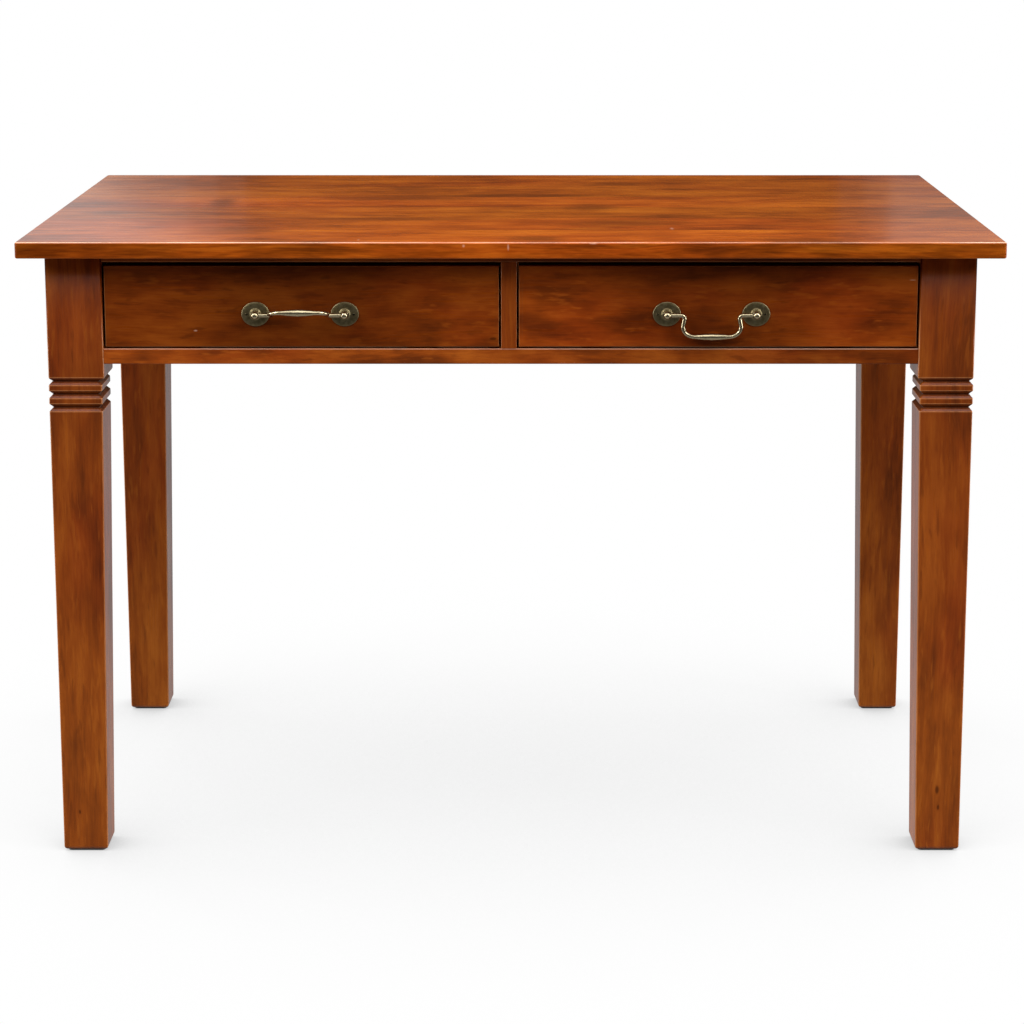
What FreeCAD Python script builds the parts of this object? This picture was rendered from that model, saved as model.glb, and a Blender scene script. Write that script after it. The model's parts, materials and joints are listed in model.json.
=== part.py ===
import FreeCAD, Part
import math
import os

# Writing desk with two inset drawers and two bail handles.
# Millimetres. X runs to the sitter's right, Y to the back, Z up, and the origin is on the floor
# under the middle of the top.

# Driving dimensions of the desk
TOP_WIDTH = 1180.0
TOP_DEPTH = 700.0
DESK_HEIGHT = 778.0
TOP_THICKNESS = 20.0
TOP_CORNER_RADIUS = 4.0
TOP_UPPER_ARRIS = 3.0
TOP_LOWER_ARRIS = 2.0
SIDE_OVERHANG = 28.0
END_OVERHANG = 40.0

# Legs: a square block, two carved rings between three grooves, and a shaft tapered on its inner faces
LEG_BLOCK = 68.0
LEG_SHAFT = 65.0
LEG_FOOT = 55.0
LEG_ARRIS = 1.5
BLOCK_END = 605.2
GROOVE_TOP = 601.4
GROOVE_PITCH = 16.2
GROOVE_HALF = 4.7
GROOVE_DEPTH = 4.4
GROOVES = 3
FOOT_ROUNDING = 4.5
PAD_THICKNESS = 2.0
PAD_INSET = 4.5

# Aprons and rails
APRON_HEIGHT = 135.0
APRON_THICKNESS = 22.0
APRON_SETBACK = 6.0
RAIL_SETBACK = 1.0
UPPER_RAIL_HEIGHT = 10.0
UPPER_RAIL_DEPTH = 55.0
LOWER_RAIL_HEIGHT = 19.0
LOWER_RAIL_DEPTH = 60.0
RAIL_ARRIS = 1.2
DIVIDER_WIDTH = 19.0
DIVIDER_CENTRE = -2.5

# Mortise and tenon joints
TENON_LENGTH = 28.0
APRON_TENON = 10.0
APRON_TENON_SHOULDER = 10.0
RAIL_TENON_SHOULDER = 10.0
RAIL_TENON_EDGE = 4.0
STUB_TENON = 8.0
DIVIDER_TENON = 10.0
DIVIDER_UPPER_STUB = 5.0
MORTISE_SPARE = 2.0
LAP_LENGTH = 25.0
LAP_ROOT = 30.0
LAP_END = 40.0

# Runners, guides and kickers that carry the drawers
RUNNER_REACH = 24.0
RUNNER_TENON_EDGE = 5.0
GUIDE_WIDTH = 22.0
GUIDE_HEIGHT = 22.0
STOP_LENGTH = 36.0
STOP_DEPTH = 14.0
STOP_HEIGHT = 7.0

# Drawers
FRONT_RECESS = 2.0
FRONT_THICKNESS = 20.0
FRONT_HEIGHT = 99.0
FRONT_ARRIS = 1.5
FRONT_SIDE_GAP = 2.5
FRONT_LOWER_GAP = 2.0
SIDE_THICKNESS = 12.0
SIDE_LIFT = 0.5
DRAWER_LENGTH = 540.0
DOVETAILS = 3
TAIL_ROOT = 18.0
TAIL_END = 24.0
TAIL_LENGTH = 12.0
BACK_THICKNESS = 12.0
BACK_INSET = 8.0
BACK_DROP = 8.0
BOTTOM_THICKNESS = 6.0
BOTTOM_RISE = 8.0
HOUSING_DEPTH = 5.0

# Handles
POST_SPACING = 108.0
LEFT_HANDLE_X = -255.0
RIGHT_HANDLE_X = 242.6
HANDLE_Z = 684.5
HANDLE_STANDOFF = 11.0
ROSETTE_WIDTH = 34.0
ROSETTE_HEIGHT = 30.0
ROSETTE_THICKNESS = 2.0
ROSETTE_ARRIS = 0.8
COLLAR_RADIUS = 6.0
COLLAR_HEIGHT = 1.6
POST_BALL_RADIUS = 4.75
POST_NECK_RADIUS = 3.2
POST_SHANK_RADIUS = 2.0
POST_SHANK_END = 7.0
NAIL_OFFSET = 11.0
BAIL_PIN_RADIUS = 1.7
BAIL_PIN_START = 1.2
BAIL_SHOULDER = 5.2
BAIL_STUB = 16.6
BAIL_ROD_RADIUS = 2.55
BAIL_BEND_RADIUS = 4.2
BAIL_LEAN = 12.0
BAIL_CORNER_RADIUS = 11.0
BAIL_CORNER_TURN = 70.0
BAIL_FOOT_RADIUS = 18.0
BAIL_DROP = 26.2
GRIP_RADIUS = 4.1
LEFT_BAIL_RAISED = 106.0
PIN_CLEARANCE = 0.05

# Fasteners
HOLE_EASE = 0.05
SCREW_RADIUS = 2.0
SCREW_HEAD_RADIUS = 4.0
SCREW_HEAD_HEIGHT = 2.5
SCREW_TIP = 3.0
TOP_SCREW_LENGTH = 22.0
GUIDE_SCREW_LENGTH = 34.0
NAIL_RADIUS = 0.8
NAIL_LENGTH = 10.0
NAIL_HEAD_RADIUS = 1.5
NAIL_HEAD_HEIGHT = 0.8
PANEL_NAIL_LENGTH = 18.0
NUT_ACROSS_FLATS = 7.0
NUT_THICKNESS = 3.2
WASHER_RADIUS = 5.0
WASHER_THICKNESS = 1.0

# Levels and planes that follow from the driving dimensions
UNDER_TOP = DESK_HEIGHT - TOP_THICKNESS
LEG_OUT_X = TOP_WIDTH / 2 - SIDE_OVERHANG
LEG_OUT_Y = TOP_DEPTH / 2 - END_OVERHANG
LEG_IN_X = LEG_OUT_X - LEG_BLOCK
LEG_IN_Y = LEG_OUT_Y - LEG_BLOCK
FOOT_EASE = FOOT_ROUNDING * (1 - math.sqrt(0.5))
APRON_BOTTOM = UNDER_TOP - APRON_HEIGHT
APRON_OUT_X = LEG_OUT_X - APRON_SETBACK
APRON_IN_X = APRON_OUT_X - APRON_THICKNESS
APRON_OUT_Y = LEG_OUT_Y - APRON_SETBACK
APRON_IN_Y = APRON_OUT_Y - APRON_THICKNESS
RAIL_FRONT = -LEG_OUT_Y + RAIL_SETBACK
UPPER_RAIL_BACK = RAIL_FRONT + UPPER_RAIL_DEPTH
LOWER_RAIL_BACK = RAIL_FRONT + LOWER_RAIL_DEPTH
RUNNER_TOP = APRON_BOTTOM + LOWER_RAIL_HEIGHT
KICKER_BOTTOM = UNDER_TOP - UPPER_RAIL_HEIGHT
DIVIDER_LEFT = DIVIDER_CENTRE - DIVIDER_WIDTH / 2
DIVIDER_RIGHT = DIVIDER_CENTRE + DIVIDER_WIDTH / 2
DRAWER_FACE = -LEG_OUT_Y + FRONT_RECESS
DRAWER_INSIDE = DRAWER_FACE + FRONT_THICKNESS
DRAWER_REAR = DRAWER_FACE + DRAWER_LENGTH
FRONT_BOTTOM = RUNNER_TOP + FRONT_LOWER_GAP
FRONT_TOP = FRONT_BOTTOM + FRONT_HEIGHT
PANEL_BOTTOM = FRONT_BOTTOM + BOTTOM_RISE
PANEL_TOP = PANEL_BOTTOM + BOTTOM_THICKNESS
DRAWER_BACK_REAR = DRAWER_REAR - BACK_INSET
DRAWER_BACK_FRONT = DRAWER_BACK_REAR - BACK_THICKNESS
SIDES = {"left": -1, "right": 1}
ENDS = {"front": -1, "back": 1}
OPENINGS = {"left": (-LEG_IN_X, DIVIDER_LEFT), "right": (DIVIDER_RIGHT, LEG_IN_X)}

V = FreeCAD.Vector
UP = V(0, 0, 1)
nodes = {}


def block(x, y, z):
    """Rectangular block between two values on each axis, given in either order."""
    low = V(min(x), min(y), min(z))
    return Part.makeBox(abs(x[1] - x[0]), abs(y[1] - y[0]), abs(z[1] - z[0]), low)


def around(centre, size):
    """The two values that lie half a size on each side of a centre."""
    return (centre - size / 2, centre + size / 2)


def polygon_face(points):
    return Part.Face(Part.makePolygon(points + points[:1]))


def fuse(shapes):
    whole = shapes[0].multiFuse(shapes[1:])
    return whole.removeSplitter()


def rounded(shape, radius, chosen):
    """Fillet the edges whose middle passes the test."""
    return shape.makeFillet(radius, [edge for edge in shape.Edges if chosen(edge.CenterOfMass)])


def near(a, b):
    return abs(a - b) < 1e-6


# Top

def make_top():
    slab = block(around(0, TOP_WIDTH), around(0, TOP_DEPTH), (UNDER_TOP, DESK_HEIGHT))
    slab = rounded(slab, TOP_CORNER_RADIUS, lambda c: UNDER_TOP + 1 < c.z < DESK_HEIGHT - 1)
    slab = rounded(slab, TOP_UPPER_ARRIS, lambda c: near(c.z, DESK_HEIGHT))
    return rounded(slab, TOP_LOWER_ARRIS, lambda c: near(c.z, UNDER_TOP))


# Legs

def leg_section(side, end, height, width, inset):
    """Square with cut corners at one height, measured in from the leg's outer corner."""
    x = sorted((side * (LEG_OUT_X - inset), side * (LEG_OUT_X - width + inset)))
    y = sorted((end * (LEG_OUT_Y - inset), end * (LEG_OUT_Y - width + inset)))
    cut = LEG_ARRIS
    outline = [
        (x[0] + cut, y[0]), (x[1] - cut, y[0]), (x[1], y[0] + cut), (x[1], y[1] - cut),
        (x[1] - cut, y[1]), (x[0] + cut, y[1]), (x[0], y[1] - cut), (x[0], y[0] + cut),
    ]
    return [V(px, py, height) for px, py in outline]


def leg_levels():
    """Height, width and inset of each section, from the foot up."""
    lowest_groove = GROOVE_TOP - (GROOVES - 1) * GROOVE_PITCH
    levels = [
        (PAD_THICKNESS, LEG_FOOT, FOOT_ROUNDING),
        (PAD_THICKNESS + FOOT_EASE, LEG_FOOT, FOOT_EASE),
        (PAD_THICKNESS + FOOT_ROUNDING, LEG_FOOT, 0.0),
        (lowest_groove - GROOVE_HALF, LEG_SHAFT, 0.0),
    ]
    for step in range(GROOVES):
        middle = lowest_groove + step * GROOVE_PITCH
        levels.append((middle, LEG_SHAFT, GROOVE_DEPTH))
        if step < GROOVES - 1:
            levels.append((middle + GROOVE_HALF, LEG_SHAFT, 0.0))
            levels.append((middle + GROOVE_PITCH - GROOVE_HALF, LEG_SHAFT, 0.0))
    levels.append((BLOCK_END, LEG_BLOCK, 0.0))
    levels.append((UNDER_TOP, LEG_BLOCK, 0.0))
    return levels


def stacked_solid(sections):
    """Solid with flat faces between outlines of the same number of points."""
    faces = [polygon_face(sections[0]), polygon_face(sections[-1])]
    for low, high in zip(sections, sections[1:]):
        for here in range(len(low)):
            there = (here + 1) % len(low)
            faces.append(polygon_face([low[here], low[there], high[there], high[here]]))
    shell = Part.makeShell(faces)
    shell.sewShape()
    solid = Part.Solid(shell)
    if solid.Volume < 0:
        solid.reverse()
    return solid


def side_apron_tenon(side, end, length):
    x = around(side * (APRON_OUT_X + APRON_IN_X) / 2, APRON_TENON)
    y = (end * LEG_IN_Y, end * (LEG_IN_Y + length))
    return block(x, y, (APRON_BOTTOM + APRON_TENON_SHOULDER, UNDER_TOP - 2 * APRON_TENON_SHOULDER))


def back_apron_tenon(side, length):
    x = (side * LEG_IN_X, side * (LEG_IN_X + length))
    y = around((APRON_OUT_Y + APRON_IN_Y) / 2, APRON_TENON)
    return block(x, y, (APRON_BOTTOM + APRON_TENON_SHOULDER, UNDER_TOP - 2 * APRON_TENON_SHOULDER))


def lower_rail_tenon(side, length):
    x = (side * LEG_IN_X, side * (LEG_IN_X + length))
    y = (RAIL_FRONT + RAIL_TENON_SHOULDER, LOWER_RAIL_BACK - RAIL_TENON_SHOULDER)
    return block(x, y, (APRON_BOTTOM + RAIL_TENON_EDGE, RUNNER_TOP - RAIL_TENON_EDGE))


def upper_rail_lap(side):
    """Dovetail that drops into the top of a front leg."""
    middle = (RAIL_FRONT + UPPER_RAIL_BACK) / 2
    root = side * LEG_IN_X
    tip = side * (LEG_IN_X + LAP_LENGTH)
    outline = [
        V(root, middle - LAP_ROOT / 2, KICKER_BOTTOM), V(tip, middle - LAP_END / 2, KICKER_BOTTOM),
        V(tip, middle + LAP_END / 2, KICKER_BOTTOM), V(root, middle + LAP_ROOT / 2, KICKER_BOTTOM),
    ]
    return polygon_face(outline).extrude(UP * UPPER_RAIL_HEIGHT)


def make_leg(side, end):
    sections = [leg_section(side, end, height, width, inset) for height, width, inset in leg_levels()]
    leg = stacked_solid(sections)
    deep = TENON_LENGTH + MORTISE_SPARE
    sockets = [side_apron_tenon(side, end, deep)]
    if end > 0:
        sockets.append(back_apron_tenon(side, deep))
    else:
        sockets.append(lower_rail_tenon(side, deep))
        sockets.append(upper_rail_lap(side))
    return leg.cut(sockets)


def make_foot_pad(side, end):
    size = LEG_FOOT - 2 * PAD_INSET
    x = around(side * (LEG_OUT_X - LEG_FOOT / 2), size)
    y = around(end * (LEG_OUT_Y - LEG_FOOT / 2), size)
    pad = block(x, y, (0, PAD_THICKNESS))
    return rounded(pad, FOOT_ROUNDING, lambda c: near(c.z, PAD_THICKNESS / 2))


# Aprons, rails and divider

def make_side_apron(side):
    z = (APRON_BOTTOM, UNDER_TOP)
    body = block((side * APRON_IN_X, side * APRON_OUT_X), (-LEG_IN_Y, LEG_IN_Y), z)
    return fuse([body] + [side_apron_tenon(side, end, TENON_LENGTH) for end in ENDS.values()])


def runner_stub(x, spare):
    """The two stub tenons of a runner, in the lower rail and in the back apron."""
    z = (APRON_BOTTOM + RUNNER_TENON_EDGE, RUNNER_TOP - RUNNER_TENON_EDGE)
    length = STUB_TENON + spare
    return [
        block(x, (LOWER_RAIL_BACK - length, LOWER_RAIL_BACK), z),
        block(x, (APRON_IN_Y, APRON_IN_Y + length), z),
    ]


def runner_stub_spans():
    inset = RUNNER_TENON_EDGE
    spans = [(side * (LEG_IN_X - inset), side * (LEG_IN_X - RUNNER_REACH + inset)) for side in SIDES.values()]
    spans.append((DIVIDER_LEFT - RUNNER_REACH + inset, DIVIDER_RIGHT + RUNNER_REACH - inset))
    return spans


def make_back_apron():
    body = block((-LEG_IN_X, LEG_IN_X), (APRON_IN_Y, APRON_OUT_Y), (APRON_BOTTOM, UNDER_TOP))
    body = fuse([body] + [back_apron_tenon(side, TENON_LENGTH) for side in SIDES.values()])
    return body.cut([runner_stub(span, MORTISE_SPARE)[1] for span in runner_stub_spans()])


def divider_stubs(spare):
    x = around(DIVIDER_CENTRE, DIVIDER_TENON)
    y = (RAIL_FRONT + RAIL_TENON_SHOULDER, UPPER_RAIL_BACK - RAIL_TENON_SHOULDER)
    lower = block(x, y, (RUNNER_TOP - STUB_TENON - spare, RUNNER_TOP))
    upper = block(x, y, (KICKER_BOTTOM, KICKER_BOTTOM + DIVIDER_UPPER_STUB + spare))
    return [lower, upper]


def make_upper_rail():
    body = block((-LEG_IN_X, LEG_IN_X), (RAIL_FRONT, UPPER_RAIL_BACK), (KICKER_BOTTOM, UNDER_TOP))
    body = rounded(body, RAIL_ARRIS, lambda c: near(c.y, RAIL_FRONT) and near(c.z, KICKER_BOTTOM))
    body = fuse([body] + [upper_rail_lap(side) for side in SIDES.values()])
    return body.cut(divider_stubs(MORTISE_SPARE)[1])


def make_lower_rail():
    body = block((-LEG_IN_X, LEG_IN_X), (RAIL_FRONT, LOWER_RAIL_BACK), (APRON_BOTTOM, RUNNER_TOP))
    body = rounded(body, RAIL_ARRIS, lambda c: near(c.y, RAIL_FRONT) and near(c.x, 0))
    body = fuse([body] + [lower_rail_tenon(side, TENON_LENGTH) for side in SIDES.values()])
    mortises = [divider_stubs(MORTISE_SPARE)[0]]
    mortises += [runner_stub(span, MORTISE_SPARE)[0] for span in runner_stub_spans()]
    return body.cut(mortises)


def make_divider():
    z = (RUNNER_TOP, KICKER_BOTTOM)
    body = block((DIVIDER_LEFT, DIVIDER_RIGHT), (RAIL_FRONT, UPPER_RAIL_BACK), z)
    middle = (RUNNER_TOP + KICKER_BOTTOM) / 2
    body = rounded(body, RAIL_ARRIS, lambda c: near(c.y, RAIL_FRONT) and near(c.z, middle))
    return fuse([body] + divider_stubs(0))


# Screws

def screw(x, y, head, length, way):
    """Countersunk wood screw with its head at one height, pointing up (1) or down (-1)."""
    axis = UP * way
    shank = length - SCREW_HEAD_HEIGHT - SCREW_TIP
    cone = Part.makeCone(SCREW_HEAD_RADIUS, SCREW_RADIUS, SCREW_HEAD_HEIGHT, V(x, y, head), axis)
    rod = Part.makeCylinder(SCREW_RADIUS, shank, V(x, y, head + way * SCREW_HEAD_HEIGHT), axis)
    tip_start = V(x, y, head + way * (SCREW_HEAD_HEIGHT + shank))
    return fuse([cone, rod, Part.makeCone(SCREW_RADIUS, 0, SCREW_TIP, tip_start, axis)])


def screw_hole(x, y, head, length, way):
    """Countersunk pilot hole, a little wider than the screw."""
    axis = UP * way
    wide = SCREW_HEAD_RADIUS + HOLE_EASE
    narrow = SCREW_RADIUS + HOLE_EASE
    cone = Part.makeCone(wide, narrow, SCREW_HEAD_HEIGHT, V(x, y, head), axis)
    return cone.fuse(Part.makeCylinder(narrow, length + HOLE_EASE, V(x, y, head), axis))


def kicker_screw_places():
    """Where the screws rise through the kickers and the upper rail into the top."""
    rows = (-LEG_IN_Y / 2, 0, LEG_IN_Y / 2)
    columns = {
        "left_kicker": -(APRON_IN_X + LEG_IN_X) / 2,
        "centre_kicker": DIVIDER_CENTRE,
        "right_kicker": (APRON_IN_X + LEG_IN_X) / 2,
    }
    places = {name: [(x, y) for y in rows] for name, x in columns.items()}
    rail_y = (RAIL_FRONT + UPPER_RAIL_BACK) / 2
    places["upper_front_rail"] = [(share * LEG_IN_X, rail_y) for share in (-0.75, -0.25, 0.25, 0.75)]
    return places


def guide_screw_places():
    """Where the screws go down through the guides into the runners."""
    rows = (-LEG_IN_Y * 0.75, 0, LEG_IN_Y * 0.75)
    columns = {
        "left": -LEG_IN_X - GUIDE_WIDTH / 2,
        "centre": DIVIDER_CENTRE,
        "right": LEG_IN_X + GUIDE_WIDTH / 2,
    }
    return {name: [(x, y) for y in rows] for name, x in columns.items()}


def with_screw_holes(shape, places, head, length, way):
    return shape.cut([screw_hole(x, y, head, length, way) for x, y in places])


# Runners, guides and kickers

def notched_strip(side, front, z):
    """Strip against a side apron, cut away at both ends to pass the legs."""
    inner = side * (LEG_IN_X - RUNNER_REACH)
    middle = block((side * APRON_IN_X, inner), (-LEG_IN_Y, LEG_IN_Y), z)
    return fuse([middle, block((side * LEG_IN_X, inner), (front, APRON_IN_Y), z)])


def centre_strip(front, z):
    return block((DIVIDER_LEFT - RUNNER_REACH, DIVIDER_RIGHT + RUNNER_REACH), (front, APRON_IN_Y), z)


def make_drawer_supports():
    runner_z = (APRON_BOTTOM, RUNNER_TOP)
    kicker_z = (KICKER_BOTTOM, UNDER_TOP)
    guide_z = (RUNNER_TOP, RUNNER_TOP + GUIDE_HEIGHT)
    guide_head = RUNNER_TOP + GUIDE_HEIGHT
    runners = {name: notched_strip(side, LOWER_RAIL_BACK, runner_z) for name, side in SIDES.items()}
    runners["centre"] = centre_strip(LOWER_RAIL_BACK, runner_z)
    kickers = {name: notched_strip(side, UPPER_RAIL_BACK, kicker_z) for name, side in SIDES.items()}
    kickers["centre"] = centre_strip(UPPER_RAIL_BACK, kicker_z)
    guides = {}
    for name, side in SIDES.items():
        guide_x = (side * LEG_IN_X, side * (LEG_IN_X + GUIDE_WIDTH))
        guides[name] = block(guide_x, (-LEG_IN_Y, LEG_IN_Y), guide_z)
    guides["centre"] = block((DIVIDER_LEFT, DIVIDER_RIGHT), (UPPER_RAIL_BACK, APRON_IN_Y), guide_z)

    stubs = dict(zip(("left", "right", "centre"), runner_stub_spans()))
    for name in runners:
        runner = fuse([runners[name]] + runner_stub(stubs[name], 0))
        places = guide_screw_places()[name]
        nodes[name + "_runner"] = with_screw_holes(runner, places, guide_head, GUIDE_SCREW_LENGTH, -1)
        nodes[name + "_guide"] = with_screw_holes(guides[name], places, guide_head, GUIDE_SCREW_LENGTH, -1)
        kicker_places = kicker_screw_places()[name + "_kicker"]
        kicker = with_screw_holes(kickers[name], kicker_places, KICKER_BOTTOM, TOP_SCREW_LENGTH, 1)
        nodes[name + "_kicker"] = kicker


def make_drawer_stops():
    """Two small blocks on the lower rail behind each drawer front."""
    stops = []
    for left, right in OPENINGS.values():
        for share in (0.2, 0.8):
            x = around(left + share * (right - left), STOP_LENGTH)
            y = (DRAWER_INSIDE, DRAWER_INSIDE + STOP_DEPTH)
            stops.append(block(x, y, (RUNNER_TOP, RUNNER_TOP + STOP_HEIGHT)))
    return Part.makeCompound(stops)


# Drawers

def dovetails(x):
    """Tails of one drawer side, which widen towards the drawer's face."""
    pitch = FRONT_HEIGHT / DOVETAILS
    tip = DRAWER_INSIDE - TAIL_LENGTH
    tails = []
    for step in range(DOVETAILS):
        middle = FRONT_BOTTOM + (step + 0.5) * pitch
        outline = [
            V(min(x), DRAWER_INSIDE, middle - TAIL_ROOT / 2), V(min(x), tip, middle - TAIL_END / 2),
            V(min(x), tip, middle + TAIL_END / 2), V(min(x), DRAWER_INSIDE, middle + TAIL_ROOT / 2),
        ]
        tails.append(polygon_face(outline).extrude(V(SIDE_THICKNESS, 0, 0)))
    return tails


def make_drawer_box(name, handle_x):
    opening = OPENINGS[name]
    outer = {"left": opening[0] + FRONT_SIDE_GAP, "right": opening[1] - FRONT_SIDE_GAP}
    inner = {edge: outer[edge] - sign * SIDE_THICKNESS for edge, sign in SIDES.items()}
    housed = {edge: inner[edge] + sign * HOUSING_DEPTH for edge, sign in SIDES.items()}
    housed_x = (housed["left"], housed["right"])
    prefix = name + "_drawer_"

    # The front, with its handle holes, dovetail sockets and groove for the bottom
    front = block((outer["left"], outer["right"]), (DRAWER_FACE, DRAWER_INSIDE), (FRONT_BOTTOM, FRONT_TOP))
    front = rounded(front, FRONT_ARRIS, lambda c: near(c.y, DRAWER_FACE))
    cuts = [block((inner["left"], inner["right"]), (DRAWER_INSIDE - HOUSING_DEPTH, DRAWER_INSIDE),
                  (PANEL_BOTTOM, PANEL_TOP))]
    for edge in SIDES:
        cuts += dovetails((outer[edge], inner[edge]))
    for sign in SIDES.values():
        cuts.append(into_drawer(handle_x + sign * POST_SPACING / 2, POST_SHANK_RADIUS, FRONT_THICKNESS))
        cuts.append(into_drawer(handle_x + sign * (POST_SPACING / 2 + NAIL_OFFSET), NAIL_RADIUS, NAIL_LENGTH))
    nodes[prefix + "front"] = front.cut(cuts)

    # The sides, dovetailed into the front, housing the back and grooved for the bottom
    bottom_groove = block(housed_x, (DRAWER_INSIDE - TAIL_LENGTH, DRAWER_REAR), (PANEL_BOTTOM, PANEL_TOP))
    back_z = (PANEL_TOP, FRONT_TOP - BACK_DROP)
    back = block(housed_x, (DRAWER_BACK_FRONT, DRAWER_BACK_REAR), back_z)
    for edge in SIDES:
        x = (outer[edge], inner[edge])
        side = block(x, (DRAWER_INSIDE, DRAWER_REAR), (RUNNER_TOP + SIDE_LIFT, FRONT_TOP))
        side = fuse([side] + dovetails(x))
        nodes[prefix + edge + "_side"] = side.cut([bottom_groove, back])

    # The back stands on the bottom, which is nailed up into it
    bottom = block(housed_x, (DRAWER_INSIDE - HOUSING_DEPTH, DRAWER_BACK_REAR), (PANEL_BOTTOM, PANEL_TOP))
    nail_y = (DRAWER_BACK_FRONT + DRAWER_BACK_REAR) / 2
    nails = []
    holes = []
    for share in (0.15, 0.5, 0.85):
        start = V(inner["left"] + share * (inner["right"] - inner["left"]), nail_y, PANEL_BOTTOM)
        shank = Part.makeCylinder(NAIL_RADIUS, PANEL_NAIL_LENGTH, start, UP)
        head = Part.makeCylinder(NAIL_HEAD_RADIUS, NAIL_HEAD_HEIGHT, start - UP * NAIL_HEAD_HEIGHT, UP)
        nails.append(fuse([shank, head]))
        holes.append(Part.makeCylinder(NAIL_RADIUS + HOLE_EASE, PANEL_NAIL_LENGTH + HOLE_EASE, start, UP))
    nodes[prefix + "back"] = back.cut(holes)
    nodes[prefix + "bottom"] = bottom.cut(holes)
    nodes[prefix + "bottom_nails"] = Part.makeCompound(nails)


def into_drawer(x, radius, depth):
    """Hole at handle height from the drawer's face inwards."""
    return Part.makeCylinder(radius + HOLE_EASE, depth + HOLE_EASE, V(x, DRAWER_FACE, HANDLE_Z), V(0, 1, 0))


# Handles are drawn with X along the drawer, Y up and Z out of its face, then set in place

def on_drawer(shape, x):
    placed = shape.copy()
    placed.rotate(V(0, 0, 0), V(1, 0, 0), 90)
    placed.translate(V(x, DRAWER_FACE, HANDLE_Z))
    return placed


def make_rosette(outward):
    """Oval plate with a collar round the post and a nail hole on its outer side."""
    rim = Part.Ellipse(V(0, 0, 0), ROSETTE_WIDTH / 2, ROSETTE_HEIGHT / 2).toShape()
    plate = Part.Face(Part.Wire([rim])).extrude(UP * ROSETTE_THICKNESS)
    plate = rounded(plate, ROSETTE_ARRIS, lambda c: near(c.z, ROSETTE_THICKNESS))
    collar = Part.makeCylinder(COLLAR_RADIUS, ROSETTE_THICKNESS + COLLAR_HEIGHT)
    collar = rounded(collar, ROSETTE_ARRIS, lambda c: near(c.z, ROSETTE_THICKNESS + COLLAR_HEIGHT))
    depth = ROSETTE_THICKNESS + COLLAR_HEIGHT
    shank_hole = Part.makeCylinder(POST_SHANK_RADIUS + HOLE_EASE, depth)
    nail_hole = Part.makeCylinder(NAIL_RADIUS + HOLE_EASE, depth, V(outward * NAIL_OFFSET, 0, 0))
    return fuse([plate, collar]).cut([shank_hole, nail_hole])


def make_post(inward):
    """Ball on a neck, bored from the bail's side, with a shank through the drawer front."""
    seat = ROSETTE_THICKNESS + COLLAR_HEIGHT
    neck = Part.makeCylinder(POST_NECK_RADIUS, HANDLE_STANDOFF - seat, V(0, 0, seat))
    ball = Part.makeSphere(POST_BALL_RADIUS, V(0, 0, HANDLE_STANDOFF))
    shank_length = seat + FRONT_THICKNESS + POST_SHANK_END
    shank = Part.makeCylinder(POST_SHANK_RADIUS, shank_length, V(0, 0, seat), -UP)
    bore_start = V(inward * (BAIL_PIN_START - MORTISE_SPARE / 2), 0, HANDLE_STANDOFF)
    bore = Part.makeCylinder(BAIL_PIN_RADIUS + PIN_CLEARANCE, 2 * POST_BALL_RADIUS, bore_start, V(inward, 0, 0))
    return fuse([neck, ball, shank]).cut(bore)


def bail_path():
    """Edges of the left arm's centre line, from the post's shoulder down to the grip."""
    leaning = math.radians(90 + BAIL_LEAN)
    cornered = math.radians(90 + BAIL_LEAN - BAIL_CORNER_TURN)
    bend_drop = BAIL_BEND_RADIUS * (1 - math.cos(leaning))
    corner_drop = BAIL_CORNER_RADIUS * (math.cos(cornered) - math.cos(leaning))
    foot_drop = BAIL_FOOT_RADIUS * (1 - math.cos(cornered))
    arm = (BAIL_DROP - bend_drop - corner_drop - foot_drop) / math.cos(math.radians(BAIL_LEAN))
    moves = [
        (BAIL_STUB - BAIL_SHOULDER, 0),
        (BAIL_BEND_RADIUS, -(90 + BAIL_LEAN)),
        (arm, 0),
        (BAIL_CORNER_RADIUS, BAIL_CORNER_TURN),
        (BAIL_FOOT_RADIUS, 90 + BAIL_LEAN - BAIL_CORNER_TURN),
    ]
    edges = []
    here = V(BAIL_SHOULDER - POST_SPACING / 2, 0, HANDLE_STANDOFF)
    heading = 0.0
    for size, turn in moves:
        if turn == 0:
            step = V(math.cos(heading), math.sin(heading), 0) * size
            edges.append(Part.LineSegment(here, here + step).toShape())
            here = here + step
            continue
        way = math.copysign(1, turn)
        centre = here + V(-math.sin(heading), math.cos(heading), 0) * (size * way)
        stops = []
        for share in (0.5, 1):
            angle = heading + math.radians(turn) * share
            stops.append(centre + V(math.sin(angle), -math.cos(angle), 0) * (size * way))
        edges.append(Part.Arc(here, stops[0], stops[1]).toShape())
        here = stops[1]
        heading += math.radians(turn)
    return edges, here


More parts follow.
